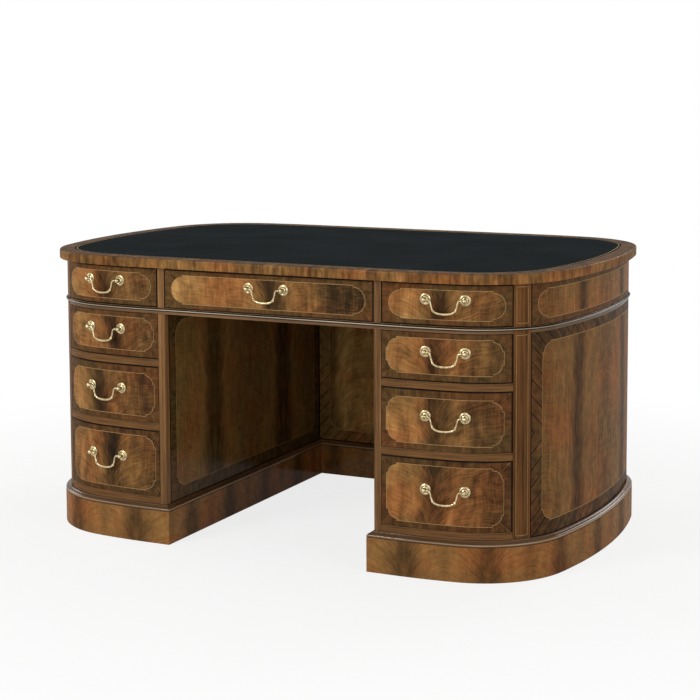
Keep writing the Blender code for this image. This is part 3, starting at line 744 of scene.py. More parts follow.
def straight_wood(name, along, tones, seed, source="place", coat=(LACQUER_WEIGHT, LACQUER_ROUGHNESS),
                  painted_highlight=None):
    """Wood whose fibres run along an axis. tones are dark and pale; the last argument is a height,
    a half width and the colour of a pale line painted along that height as a highlight."""
    material, tree = new_material(name)
    if source == "place":
        place = add(tree, "ShaderNodeAttribute", attribute_name="place").outputs["Vector"]
    else:
        place = add(tree, "ShaderNodeTexCoord").outputs["Object"]
    pores = [PORE_WIDTH] * 3
    pores[along] = PORE_LENGTH
    bands = [GRAIN_BAND] * 3
    bands[along] = GRAIN_BAND_LENGTH
    fine = drawn_out(tree, place, pores, {"W": seed, "Scale": 1.0, "Detail": 2.0})
    wide = drawn_out(tree, place, bands, {"W": seed, "Scale": 1.0, "Detail": 3.0})
    tone = add(tree, MATH, {0: wide, 1: GRAIN_BAND_SHARE, 2: STRAIGHT_TONE}, operation="MULTIPLY_ADD")
    tone = swing(tree, fine, PORE_SHARE, tone)
    colour = add(tree, RAMP, {0: tone}, [(0.15, tones[0]), (0.85, tones[1])])
    # A pale line is painted along the given height, standing for a highlight.
    if painted_highlight:
        height, half_width, pale_colour = painted_highlight
        z = add(tree, "ShaderNodeSeparateXYZ", {0: place}).outputs["Z"]
        off = add(tree, MATH, {0: z, 1: height}, operation="SUBTRACT")
        off = add(tree, MATH, {0: off}, operation="ABSOLUTE")
        share = add(tree, RANGE, {"Value": off, "From Min": half_width / 2, "From Max": half_width,
                                  "To Min": HIGHLIGHT_MOST, "To Max": 0.0}, interpolation_type="SMOOTHSTEP")
        highlight_mask = add(tree, MATH, {0: wide, 1: share}, operation="MULTIPLY")
        highlight_mask = add(tree, MATH, {0: highlight_mask, 1: HIGHLIGHT_PATCHES}, operation="MULTIPLY", use_clamp=True)
        colour = add(tree, MIX, {0: highlight_mask, 6: colour, 7: linear(pale_colour)}, data_type="RGBA").outputs[2]
    polished(tree, colour, fine, coat)
    return material


print("pores", PORE_WIDTH * 1000, "mm wide on bands of", GRAIN_BAND * 1000, "mm")

# %% [markdown]
# One function makes all the straight woods. Rails and stiles are polished like the veneer but
# quieter, so that they frame it. The plinth's moulding has a thicker coat that catches a bright
# line along its nose, and a pale line is painted there too, as a painted highlight. Carcase and
# drawer linings are plain pale wood, so an open drawer shows at once that only the outside is dressed.

# %% Woods of the desk
MOULDING_LACQUER_WEIGHT = 0.5
MOULDING_LACQUER_ROUGHNESS = 0.07
MOULDING_NOSE_SHARE = 0.36
MOULDING_HIGHLIGHT_WIDTH = 0.0018
RAIL_WOOD = straight_wood("polished rail wood", 0, ("#2F1D0E", "#93683E"), 1.3)
STILE_WOOD = straight_wood("polished stile wood", 2, ("#412B18", "#986F46"), 2.1)
CORNER_WOOD = straight_wood("polished corner stile veneer", 2, ("#3C2411", "#84572D"), 6.4)
low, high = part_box("plinth_moulding")
nose_z = low.z + MOULDING_NOSE_SHARE * (high.z - low.z)
# The pale line along the moulding's nose is a painted highlight.
MOULDING_WOOD = straight_wood("polished plinth moulding", 0, ("#3F2A18", "#7D5A38"), 3.4,
                              coat=(MOULDING_LACQUER_WEIGHT, MOULDING_LACQUER_ROUGHNESS),
                              painted_highlight=(nose_z, MOULDING_HIGHLIGHT_WIDTH, "#AE9473"))
CARCASE_WOOD = straight_wood("plain carcase wood", 1, ("#8C6B45", "#B08A5C"), 4.2, "object")
LINING_WOOD = straight_wood("pale drawer lining", 1, ("#A98658", "#CBAA78"), 5.6, "object")
print("straight woods:", [m.name for m in (RAIL_WOOD, STILE_WOOD, CORNER_WOOD, MOULDING_WOOD)])

# %% [markdown]
# Inlay strings are boxwood, cut about a millimetre wide and let into a groove. The wood is pale,
# hard and close grained, so a string reads as one thin even line under the same polish.

# %% Boxwood
STRING_CLOUD = 0.0048


def boxwood():
    """Pale close-grained wood for the strings."""
    material, tree = new_material("boxwood string")
    place = add(tree, "ShaderNodeTexCoord").outputs["Object"]
    grain = add(tree, NOISE, {"Vector": place, "Scale": 1 / STRING_CLOUD, "Detail": 2.0})
    colour = add(tree, RAMP, {0: grain}, [(0.3, "#93754C"), (0.7, "#B29263")])
    polished(tree, colour, grain)
    return material


BOXWOOD = boxwood()
print("strings of", BOXWOOD.name)

# %% [markdown]
# The writing surface is black hide, dyed and waxed. It is almost matt, with a broad faint sheen
# that a fine pebble breaks up, so it swallows the light that the polish beside it throws back.
# A gilt line is pressed in with a hot wheel just inside the edge. The distance from the edge is
# part of the place attribute, so the line follows the top's curves by itself.

# %% Black hide with a gilt line
HIDE_PEBBLE = 0.0012
HIDE_MOTTLES_PER_METRE = 6.0
HIDE_ROUGHNESS = (0.58, 0.64)
HIDE_WAX_WEIGHT = 0.025
TOP_OVERHANG = 0.0205
BORDER_WIDTH = 0.042
HIDE_EDGE = TOP_OVERHANG - BORDER_WIDTH
GILT_LINE_INSET = 0.0065
GILT_LINE_HALF_WIDTH = 0.0011
GILT_PRESS_SHARE = -0.6


def black_hide():
    """Black hide with a fine pebble and a gilt line just inside its edge."""
    material, tree = new_material("black hide")
    place = add(tree, "ShaderNodeTexCoord").outputs["Object"]
    pebble = add(tree, "ShaderNodeTexVoronoi", {"Vector": place, "Scale": 1 / HIDE_PEBBLE},
                 feature="SMOOTH_F1")
    mottle = add(tree, NOISE, {"Vector": place, "Scale": HIDE_MOTTLES_PER_METRE, "Detail": 3.0})
    edge = add(tree, "ShaderNodeAttribute", attribute_name="place").outputs["Vector"]
    out = add(tree, "ShaderNodeSeparateXYZ", {0: edge}).outputs["Y"]
    off_line = add(tree, MATH, {0: out, 1: HIDE_EDGE - GILT_LINE_INSET}, operation="SUBTRACT")
    off_line = add(tree, MATH, {0: off_line}, operation="ABSOLUTE")
    line = add(tree, MATH, {0: off_line, 1: GILT_LINE_HALF_WIDTH}, operation="LESS_THAN")
    hide = add(tree, RAMP, {0: mottle}, [(0.3, "#1B1F21"), (0.7, "#222729")])
    colour = add(tree, MIX, {0: line, 6: hide, 7: linear("#B5A175")}, data_type="RGBA")
    rough = add(tree, RANGE, {"Value": mottle, "From Min": 0.3, "From Max": 0.7,
                              "To Min": HIDE_ROUGHNESS[0], "To Max": HIDE_ROUGHNESS[1]})
    dent = add(tree, MATH, {0: line, 1: GILT_PRESS_SHARE, 2: pebble.outputs["Distance"]},
               operation="MULTIPLY_ADD")
    bump = add(tree, "ShaderNodeBump", {"Strength": 0.25, "Distance": 0.00015, "Height": dent})
    shader = add(tree, "ShaderNodeBsdfPrincipled", {
        "Base Color": colour.outputs[2], "Roughness": rough, "Normal": bump, "IOR": 1.5,
        "Specular IOR Level": 0.0, "Coat Weight": HIDE_WAX_WEIGHT, "Coat Roughness": 0.3,
        "Coat Normal": bump,
    })
    add(tree, "ShaderNodeOutputMaterial", {"Surface": shader})
    return material


LEATHER = black_hide()
print("gilt line", GILT_LINE_INSET * 1000, "mm inside the edge of the hide")

# %% [markdown]
# The pulls are cast brass, now aged. Hands keep the raised parts pale and bright, and tarnish
# stays dark in the hollows, which is what lets the eye read such small turnings. The posts carry
# an attribute called hollow for this. A fine patina varies colour and roughness together, so
# that the rubbed places are the shiniest.

# %% Aged brass
PATINA_PER_METRE = 180.0
BRASS_ROUGHNESS = (0.40, 0.24)


def aged_brass():
    """Cast brass, rubbed bright where hands reach and dark in its hollows."""
    material, tree = new_material("aged cast brass")
    place = add(tree, "ShaderNodeTexCoord").outputs["Object"]
    hollow = add(tree, "ShaderNodeAttribute", attribute_name="hollow").outputs["Fac"]
    patina = add(tree, NOISE, {"Vector": place, "Scale": PATINA_PER_METRE, "Detail": 4.0,
                               "Roughness": 0.6})
    pale_colour = add(tree, RAMP, {0: patina}, [(0.35, "#95835C"), (0.5, "#C2AF86"), (0.7, "#DBCBA6")])
    colour = add(tree, MIX, {0: hollow, 6: pale_colour, 7: linear("#41371F")}, data_type="RGBA").outputs[2]
    rough = add(tree, RANGE, {"Value": patina, "From Min": 0.35, "From Max": 0.65,
                              "To Min": BRASS_ROUGHNESS[0], "To Max": BRASS_ROUGHNESS[1]})
    bump = add(tree, "ShaderNodeBump", {"Strength": 0.2, "Distance": 0.0001, "Height": patina})
    shader = add(tree, "ShaderNodeBsdfPrincipled", {
        "Base Color": colour, "Roughness": rough, "Normal": bump, "Metallic": 1.0,
    })
    add(tree, "ShaderNodeOutputMaterial", {"Surface": shader})
    return material


BRASS = aged_brass()
print("pulls of", BRASS.name)

# %% [markdown]
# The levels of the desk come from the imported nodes, so that nothing here can drift away from
# the model. Only the widths that no box shows are written out.

# %% Levels and widths
TOP_LOW, TOP_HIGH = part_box("desk_top")
PLINTH_TOP_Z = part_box("plinth")[1].z
BASE_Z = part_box("front_stile_right")[0].z
CASE_TOP_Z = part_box("front_stile_right")[1].z
FRAME_LOW_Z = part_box("frieze_frame")[0].z
FRIEZE_LOW_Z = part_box("frieze_wall")[0].z
PEDESTAL_TOP_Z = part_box("end_panel_right")[1].z
KNEEHOLE_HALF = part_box("kneehole_side_right")[0].x
SIDE_INNER_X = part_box("kneehole_side_right")[1].x
DRAWER_CLEARANCE = 0.0015
OPENING_END_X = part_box("right_lower_drawer")[1].x + DRAWER_CLEARANCE
WALL = 0.022
GAP = 0.0003
STILE_WIDTH = 0.0496
OPENING_END = station_at(OPENING_END_X)
STILE_END = OPENING_END + STILE_WIDTH
BACK_MIDDLE = 2 * QUARTER_RUN
print("opening ends at station", round(OPENING_END, 4), "and the stile at", round(STILE_END, 4))

# %% [markdown]
# The drawer fronts come first, because they make the face of the desk. Each has its own field
# of flame veneer, so the fields' edges are written down row by row, as plan widths and heights,
# and field, band and string all use them. Each leaf's dark spine has a place of its own too, and
# every front is set a little darker to the right.

# %% Fields and leaves of the drawer fronts
DRAWER_SLOPE = -1.1
FIRST_SEED = 2.3
SEED_STEP = 1.7
FIELD_EDGES = {
    "lower": (0.343, 0.640, 0.1390, 0.2875),
    "middle": (0.343, 0.640, 0.3419, 0.4586),
    "upper": (0.343, 0.640, 0.5195, 0.6095),
    "frieze": (0.3456, 0.6461, 0.6575, 0.732),
    "centre": (-0.290, 0.290, 0.6554, 0.732),
}
ROW_TONES = {"lower": -0.06, "middle": -0.03, "upper": -0.03, "frieze": 0.0}
SPINES = {
    "left_lower": 0.02, "left_middle": -0.03, "left_upper": 0.03, "left_frieze": 0.0,
    "right_lower": -0.03, "right_middle": -0.022, "right_upper": -0.02, "right_frieze": -0.012,
    "centre_frieze": 0.02,
}
print(len(SPINES), "drawer fronts to veneer")

# %% [markdown]
# A front is one board that follows the plan. It could be cut from a block by booleans, but a
# prism over a curved plan line gives clean faces whose places are known. So the line is drawn
# once at the face and once moved back by the thickness, and walls stand between the two.

# %% Solids over a plan line
def curved_line(start, end, offset=0.0, centre=0.0, back=0.0):
    """Plan line along the outline, moved straight back: points with their along and out."""
    line = []
    for station in marks_between(start, end):
        point = outline(station, offset) + Vector((0, back))
        line.append((point, station - centre, offset - back))
    return line


def add_prism(bm, plan, low, high, middle, side, slots=(0, 0)):
    """Upright solid over a plan line. slots are the materials of its walls and of its two ends."""
    layer = bm.loops.layers.float_vector["place"]
    rings = []
    for z in (low, high):
        rings.append([bm.verts.new((side * point.x, point.y, z)) for point, _, _ in plan])
    count = len(plan)
    corners = [[(plan[i][1], plan[i][2], z - middle) for i in range(count)] for z in (low, high)]
    for i in range(count):
        j = (i + 1) % count
        face = bm.faces.new((rings[0][i], rings[0][j], rings[1][j], rings[1][i]))
        face.material_index = slots[0]
        for loop, place in zip(face.loops, (corners[0][i], corners[0][j], corners[1][j], corners[1][i])):
            loop[layer] = place
    for ring, places in zip(rings, corners):
        face = bm.faces.new(ring)
        face.material_index = slots[1]
        for loop, place in zip(face.loops, places):
            loop[layer] = place


def flat_place(point):
    """Place of a plain board: its own coordinates in the desk."""
    return (point.x, point.y, point.z)


print(len(curved_line(0.0, OPENING_END)), "points from the middle of the desk to a corner stile")

# %% [markdown]
# Behind each front is a lining of paler wood: two sides, a back and a bottom, thin boards with
# nothing in them. They ride on the drawer's body with the front, so an open drawer shows a
# real inside. The sides stop short of the front's top edge, as real ones do.

# %% Build the drawers
FRONT_THICKNESS = 0.022
FRONT_LIFT = 0.0012
BOARD_THICKNESS = 0.010
BOTTOM_THICKNESS = 0.008
SIDE_SET_DOWN = 0.010
LINING_INSET = 0.0006
LINING_HOUSING = 0.002


def drawer_layout(key):
    """Where a drawer's front and field lie, in stations and heights."""
    row = key.split("_")[1]
    low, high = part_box(f"{key}_drawer")
    if key.startswith("centre"):
        edges = FIELD_EDGES["centre"]
        start, end, field_start, field_end = -high.x, high.x, edges[0], edges[1]
    else:
        edges = FIELD_EDGES[row]
        near, far = sorted((abs(low.x), abs(high.x)))
        start, end, field_start, field_end = (station_at(x) for x in (near, far, edges[0], edges[1]))
    half_width = (field_end - field_start) / 2
    half_height = (edges[3] - edges[2]) / 2
    if row == "frieze":
        field = round_ended_field(half_width, half_height)
    else:
        field = field_shape(half_width, half_height)
    return {
        "key": key, "row": row, "side": -1 if key.startswith("left") else 1, "low": low, "high": high,
        "start": start, "end": end, "centre": (field_start + field_end) / 2,
        "middle": (edges[2] + edges[3]) / 2, "field": field, "body": f"{key}_drawer_body",
    }


def build_drawer(drawer, number):
    """Veneered front with a lining of four thin boards behind it."""
    low, high, side, key = drawer["low"], drawer["high"], drawer["side"], drawer["key"]
    centre, middle = drawer["centre"], drawer["middle"]
    front_low = low.z + FRONT_LIFT
    outer = (max(drawer["end"] - centre, centre - drawer["start"]),
             max(high.z - middle, middle - front_low))
    material = veneered(f"{key} flame veneer", drawer["field"], outer, side * SPINES[key],
                        SEED_STEP * number + FIRST_SEED, tone_shift=ROW_TONES[drawer["row"]],
                        slope=DRAWER_SLOPE * side)
    bm = new_mesh()
    face = curved_line(drawer["start"], drawer["end"], centre=centre)
    behind = curved_line(drawer["start"], drawer["end"], centre=centre, back=FRONT_THICKNESS)
    add_prism(bm, face + behind[::-1], front_low, high.z, middle, side)

    fore = curved_line(drawer["start"] + LINING_INSET, drawer["end"] - LINING_INSET,
                       back=FRONT_THICKNESS - LINING_HOUSING)
    x_near, x_far = fore[0][0].x, fore[-1][0].x
    y_back = high.y
    tail = [(Vector((x_far, y_back)), 0, 0), (Vector((x_near, y_back)), 0, 0)]
    add_prism(bm, fore + tail, low.z, low.z + BOTTOM_THICKNESS, 0, side, (1, 1))
    top = high.z - SIDE_SET_DOWN
    base = low.z + BOTTOM_THICKNESS
    for x, y_fore, inward in ((x_near, fore[0][0].y, 1), (x_far, fore[-1][0].y, -1)):
        xs = sorted((side * x, side * (x + inward * BOARD_THICKNESS)))
        add_box(bm, (xs[0], y_fore, base), (xs[1], y_back, top), flat_place, 1)
    xs = sorted((side * (x_near + BOARD_THICKNESS), side * (x_far - BOARD_THICKNESS)))
    add_box(bm, (xs[0], y_back - BOARD_THICKNESS, base), (xs[1], y_back, top), flat_place, 1)
    finish_piece(f"{key}_front", bm, [material, LINING_WOOD], drawer["body"], [f"{key}_drawer"],
                 merge=False)


DRAWERS = [drawer_layout(key) for key in SPINES]
for number, drawer in enumerate(DRAWERS):
    build_drawer(drawer, number)
print(len(DRAWERS), "drawers, the centre one", round(2 * DRAWERS[-1]["end"], 3), "m wide")

# %% [markdown]
# The corner stiles stand beside the drawers from the plinth to the top. Their veneer runs
# upright, and the face toward the opening is straight, so that a drawer can slide past it. The
# stiles between kneehole and pedestal, and the partitions above them, are plain upright boards.

# %% Corner stiles, centre stiles and partitions
for side_name, side in (("left", -1), ("right", 1)):
    inner_start = station_at(OPENING_END_X, -WALL)
    stile_middle = (OPENING_END + STILE_END) / 2
    plan = curved_line(OPENING_END, STILE_END, centre=stile_middle)
    plan += curved_line(inner_start, STILE_END, -WALL, stile_middle)[::-1]
    bm = new_mesh()
    add_prism(bm, plan, BASE_Z, CASE_TOP_Z, 0, side)
    finish_piece(f"corner_stile_{side_name}", bm, [CORNER_WOOD], "case", [f"front_stile_{side_name}"])
    for node in ("centre_stile", "frieze_partition"):
        low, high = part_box(f"{node}_{side_name}")
        bm = new_mesh()
        add_box(bm, low, high, flat_place)
        finish_piece(f"{node}_wood_{side_name}", bm, [STILE_WOOD], "case", [f"{node}_{side_name}"])
print("stiles are", round(1000 * STILE_WIDTH, 1), "mm wide along the curve")

# %% [markdown]
# Between the drawers lie boards whose front edges are the rails. Each runs back to the wall of
# the case and carries a strip that guides the drawer above it at its outer end. Only the edge
# is polished: the board's faces are bare carcase wood, a second material on the same solid.

# %% Rails and the boards behind them
GUIDE_WIDTH = 0.018
GUIDE_HEIGHT = 0.020
GUIDE_SET_BACK = 0.010


def board_plan(x_low, x_high):
    """Plan of a pedestal board, with its front edge on the outline."""
    inside = -WALL - GAP
    back_end = BACK_MIDDLE - station_at(x_low, inside)
    return curved_line(station_at(x_low), station_at(x_high)) + curved_line(
        station_at(x_high, inside), back_end, inside)


def add_guide(bm, side, z_low, z_high, y_high):
    """Strip along the outer end of a drawer's space."""
    inside = -WALL - GAP
    xs = sorted((side * OPENING_END_X, side * (OPENING_END_X + GUIDE_WIDTH)))
    y_low = outline(station_at(OPENING_END_X + GUIDE_WIDTH, inside), inside).y + GUIDE_SET_BACK
    add_box(bm, (xs[0], y_low, z_low), (xs[1], y_high, z_high), flat_place, 1)


for side_name, side in (("left", -1), ("right", 1)):
    for node, drawer in (("pedestal_floor", "lower"), ("lower_frame", "middle"), ("upper_frame", "upper")):
        low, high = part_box(f"{node}_{side_name}")
        board_top = high.z - GUIDE_HEIGHT
        bm = new_mesh()
        plan = board_plan(SIDE_INNER_X + GAP, OPENING_END_X - GAP)
        add_prism(bm, plan, low.z, board_top, low.z, side, (0, 1))
        add_guide(bm, side, board_top, high.z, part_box(f"{side_name}_{drawer}_drawer")[1].y)
        finish_piece(f"{node}_board_{side_name}", bm, [RAIL_WOOD, CARCASE_WOOD], "case",
                     [f"{node}_{side_name}"])

inside = -WALL - GAP
right = curved_line(0.0, station_at(OPENING_END_X - GAP))[1:]
right += curved_line(station_at(OPENING_END_X - GAP, inside), STILE_END + GAP, inside)
right += curved_line(STILE_END + GAP, BACK_MIDDLE)[:-1]
left = [(Vector((-point.x, point.y)), -along, out) for point, along, out in reversed(right)]
low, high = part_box("frieze_frame")
bm = new_mesh()
frame_top = high.z - GUIDE_HEIGHT
add_prism(bm, right + left, low.z, frame_top, low.z, 1, (0, 1))
for side in (-1, 1):
    add_guide(bm, side, frame_top, high.z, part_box("right_frieze_drawer")[1].y)
finish_piece("frieze_board", bm, [MOULDING_WOOD, CARCASE_WOOD], "case", ["frieze_frame"])

# %% [markdown]
# The ends of the desk and its back are one skin that follows the outline. It is divided in
# regions, each with its own middle and its own veneer: an end with a large book-matched field,
# a narrow stile at the back corner, and a field on the back of the pedestal. The photograph
# shows the right end, a calmer figure than the front's, in a herring-bone band. The left end
# mirrors it, and the back is made as such backs are.

# %% End panels and the frieze behind the drawers
BACK_STILE = BACK_MIDDLE - STILE_END
BACK_OPENING = BACK_MIDDLE - OPENING_END
END_HALF = QUARTER_RUN - STILE_END
END_BORDER = 0.037
FRIEZE_BORDER = 0.016
PANEL_LOW_Z = 0.141
PANEL_HIGH_Z = 0.599
PANEL_MIDDLE = (PANEL_LOW_Z + PANEL_HIGH_Z) / 2
FRIEZE_LINE_LOW_Z = 0.6575
FRIEZE_LINE_HIGH_Z = 0.732
FRIEZE_MIDDLE = (FRIEZE_LINE_LOW_Z + FRIEZE_LINE_HIGH_Z) / 2

panel_outer_z = max(PEDESTAL_TOP_Z - PANEL_MIDDLE, PANEL_MIDDLE - BASE_Z)
panel_half_z = (PANEL_HIGH_Z - PANEL_LOW_Z) / 2
frieze_half_z = (FRIEZE_LINE_HIGH_Z - FRIEZE_LINE_LOW_Z) / 2
frieze_outer_z = max(CASE_TOP_Z - FRIEZE_MIDDLE, FRIEZE_MIDDLE - FRIEZE_LOW_Z)
END_FIELD = field_shape(END_HALF - END_BORDER, panel_half_z)
END_FRIEZE_FIELD = round_ended_field(END_HALF - FRIEZE_BORDER, frieze_half_z)

back_half = (BACK_MIDDLE - KNEEHOLE_HALF - BACK_OPENING) / 2
back_centre = BACK_OPENING + back_half
BACK_FIELD = field_shape(back_half - END_BORDER, panel_half_z)
middle_edge = BACK_MIDDLE - (KNEEHOLE_HALF + SIDE_INNER_X) / 2
back_frieze_half = (middle_edge - BACK_OPENING) / 2
back_frieze_centre = BACK_OPENING + back_frieze_half
BACK_FRIEZE_FIELD = round_ended_field(back_frieze_half - FRIEZE_BORDER, frieze_half_z)
middle_half = BACK_MIDDLE - middle_edge
MIDDLE_FRIEZE_FIELD = round_ended_field(middle_half - FRIEZE_BORDER, frieze_half_z)

end_materials = [
    veneered("end veneer", END_FIELD, (END_HALF, panel_outer_z), spine=0.19, seed=21.3, dive=0.22,
             feather=True, leaf=END_FIELD["half_width"], tone_shift=-0.04, figure="calm"),
    CORNER_WOOD,
    veneered("pedestal back flame veneer", BACK_FIELD, (back_half, panel_outer_z), spine=0.0, seed=33.1,
             dive=0.14, feather=True),
]
for side_name, side in (("left", -1), ("right", 1)):
    end_stop = BACK_MIDDLE - KNEEHOLE_HALF
    runs = [
        (STILE_END + GAP, BACK_STILE, QUARTER_RUN, 0),
        (BACK_STILE, BACK_OPENING, (BACK_STILE + BACK_OPENING) / 2, 1),
        (BACK_OPENING, end_stop, back_centre, 2),
    ]
    bm = new_mesh()
    section = [(0, BASE_Z), (0, PEDESTAL_TOP_Z), (-WALL, PEDESTAL_TOP_Z), (-WALL, BASE_Z)]
    add_run(bm, runs, section, PANEL_MIDDLE, side)
    finish_piece(f"end_and_back_{side_name}", bm, end_materials, "case", [f"end_panel_{side_name}"])

frieze_materials = [
    veneered("end frieze veneer", END_FRIEZE_FIELD, (END_HALF, frieze_outer_z), spine=0.16, seed=41.7,
             dive=0.05, leaf=END_FRIEZE_FIELD["half_width"], figure="calm"),
    CORNER_WOOD,
    veneered("back frieze flame veneer", BACK_FRIEZE_FIELD, (back_frieze_half, frieze_outer_z),
             spine=0.02, seed=47.9),
    veneered("middle back frieze veneer", MIDDLE_FRIEZE_FIELD, (middle_half, frieze_outer_z),
             spine=0.05, seed=53.3, dive=0.05, leaf=0.145),
]
right_runs = [
    (STILE_END + GAP, BACK_STILE, QUARTER_RUN, 0),
    (BACK_STILE, BACK_OPENING, (BACK_STILE + BACK_OPENING) / 2, 1),
    (BACK_OPENING, middle_edge, back_frieze_centre, 2),
]
left_runs = [(WHOLE_RUN - end, WHOLE_RUN - start, WHOLE_RUN - centre, slot)
             for start, end, centre, slot in reversed(right_runs)]
runs = right_runs + [(middle_edge, WHOLE_RUN - middle_edge, BACK_MIDDLE, 3)] + left_runs
section = [(0, FRIEZE_LOW_Z), (0, CASE_TOP_Z), (-WALL, CASE_TOP_Z), (-WALL, FRIEZE_LOW_Z)]
bm = new_mesh()
add_run(bm, runs, section, FRIEZE_MIDDLE)
finish_piece("frieze_skin", bm, frieze_materials, "case", ["frieze_wall"])
print("end field", round(2 * END_FIELD["half_width"], 3), "by", round(2 * panel_half_z, 3), "m")

# %% [markdown]
# The kneehole is lined with three flat panels, veneered and banded like the ends. Their veneer
# has painted shade and light: a tint takes some of the red away, the sides are painted darker
# inward, and the back panel's face is painted lighter. The other face of the back board closes
# a shallow recess behind the desk, so it has a veneer of its own without the tint and the painted light.

# %% Kneehole panels
SIDE_BORDER = 0.034
FACE_DEPTH = 0.001
PAINTED_SHADE_TINT = (0.86, 1.0, 1.0, 1.0)
low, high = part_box("kneehole_side_right")
panel_face_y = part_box("kneehole_back")[0].y
side_centre = (low.y + panel_face_y) / 2
side_half = (panel_face_y - low.y) / 2
SIDE_FIELD = field_shape(side_half - SIDE_BORDER, panel_half_z)
# The side veneer is tinted and painted darker inward, as painted shade.
side_material = veneered("kneehole side veneer", SIDE_FIELD, (side_half, panel_outer_z), spine=0.19,
                         seed=61.9, dive=0.24, leaf=0.2055, tone_shift=-0.04, slope=-0.1,
                         figure="calm", tint=PAINTED_SHADE_TINT)
for side_name in ("left", "right"):
    low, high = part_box(f"kneehole_side_{side_name}")
    bm = new_mesh()
    add_box(bm, low, high, lambda p: (p.y - side_centre, 0.0, p.z - PANEL_MIDDLE))
    finish_piece(f"kneehole_lining_{side_name}", bm, [side_material], "case",
                 [f"kneehole_side_{side_name}"])

low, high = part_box("kneehole_back")
BACK_PANEL_FIELD = field_shape(high.x - END_BORDER, panel_half_z)
panel = {"field": BACK_PANEL_FIELD, "outer": (high.x, panel_outer_z), "spine": 0.0, "seed": 71.3,
         "dive": 0.16, "feather": True, "leaf": 0.136}
# The kneehole face of the back panel is painted lighter and tinted, as painted light and shade; the recess
# face has neither.
back_materials = [
    veneered("kneehole back veneer", **panel, tone_shift=0.2, tint=PAINTED_SHADE_TINT),
    veneered("recess veneer", **panel, tone_shift=0.02),
]
bm = new_mesh()
add_box(bm, low, high, lambda p: (p.x, 0.0, p.z - PANEL_MIDDLE))
for face in bm.faces:
    face.material_index = 1 if face.calc_center_median().y > low.y + FACE_DEPTH else 0
finish_piece("kneehole_lining_back", bm, back_materials, "case", ["kneehole_back"])
print("kneehole", round(2 * KNEEHOLE_HALF, 3), "m wide")

# %% [markdown]
# The plinth is a frame of veneered boards on edge, with mitred corners at the kneehole. A
# moulding steps in from it to the pedestals. Both are a section carried round one plan loop,
# drawn once as an offset from the case. The moulding's section is a table of shares: how far out
# of the plinth's projection and how far up its own height each corner lies.

# %% Plan and sections of the plinth
PLINTH_PROJECTION = 0.0155
PLINTH_BOARD = 0.018
MOULDING_SHARES = [
    (0.84, 0.0), (0.84, 0.06), (0.955, 0.09), (0.99, 0.16), (1.0, 0.25), (0.985, 0.36), (0.94, 0.47),
    (0.87, 0.56), (0.78, 0.625), (0.67, 0.665), (0.58, 0.68), (0.54, 0.70), (0.54, 0.76), (0.45, 0.78),
    (0.36, 0.83), (0.29, 0.91), (0.25, 1.0),
]


def plinth_loop(offset):
    """Plan loop round both pedestals and the kneehole back, offset outside their faces."""
    x = KNEEHOLE_HALF - offset
    back_low, back_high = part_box("kneehole_back")
    corner = outline(station_at(x, offset), offset)
    after = station_at(KNEEHOLE_HALF) + PLINTH_BOARD
    right = [corner]
    right += [outline(mark, offset) for mark in HALF_MARKS if after < mark < BACK_MIDDLE - after]
    right += [Vector((corner.x, -corner.y)), Vector((x, back_high.y + offset))]
    left = [Vector((-point.x, point.y)) for point in reversed(right)]
    return right + left + [Vector((-x, back_low.y - offset)), Vector((x, back_low.y - offset))]


def edge_runs(loop):
    """How far along each edge of the loop starts and ends. The left half mirrors the right."""
    half = len(loop) // 2 - 1
    lengths = [(b - a).length for a, b in zip(loop, loop[1:] + loop[:1])]
    run = [0.0]
    for length in lengths[:half - 1]:
        run.append(run[-1] + length)
    right = list(zip(run, run[1:]))
    across_back = (run[-1], run[-1] + lengths[half - 1])
    left = [(end, start) for start, end in reversed(right)]
    inside = -lengths[-1]
    return right + [across_back] + left + [(0.0, inside), (inside, inside - lengths[-2]), (inside, 0.0)]


def add_ring(bm, section):
    """Closed ring swept round the plinth's plan; each straight or bowed board has its own run."""
    layer = bm.loops.layers.float_vector["place"]
    loops = [[Vector((*point, z)) for point in plinth_loop(offset)] for offset, z in section]
    runs = edge_runs(plinth_loop(0.0))
    count = len(runs)
    size = len(section)
    for i, (near, far) in enumerate(runs):
        j = (i + 1) % count
        for k in range(size):
            m = (k + 1) % size
            points = (loops[k][i], loops[k][j], loops[m][j], loops[m][i])
            face = bm.faces.new([bm.verts.new(point) for point in points])
            places = ((near, k), (far, k), (far, m), (near, m))
            for loop, (run, part) in zip(face.loops, places):
                loop[layer] = (run, section[part][0], section[part][1])


print("plinth stands", PLINTH_PROJECTION * 1000, "mm out from the case")

# %% [markdown]
# The plinth's flame veneer is book-matched: each leaf is turned over beside the last, so the
# blotches come in mirrored pairs, and a slow drift of the seed keeps the pairs from repeating.
# It has no band. The moulding above is solid wood, so its own grain runs along it.

# %% Plinth and its moulding
LEAF_WIDTH = 0.105
LEAF_START = 0.015
PLINTH_SEED = 83.7
PLINTH_DRIFT = 0.9
DRIFTS_PER_METRE = 2.2
PLINTH_DIVE = 0.10
PLINTH_TONE = 0.04


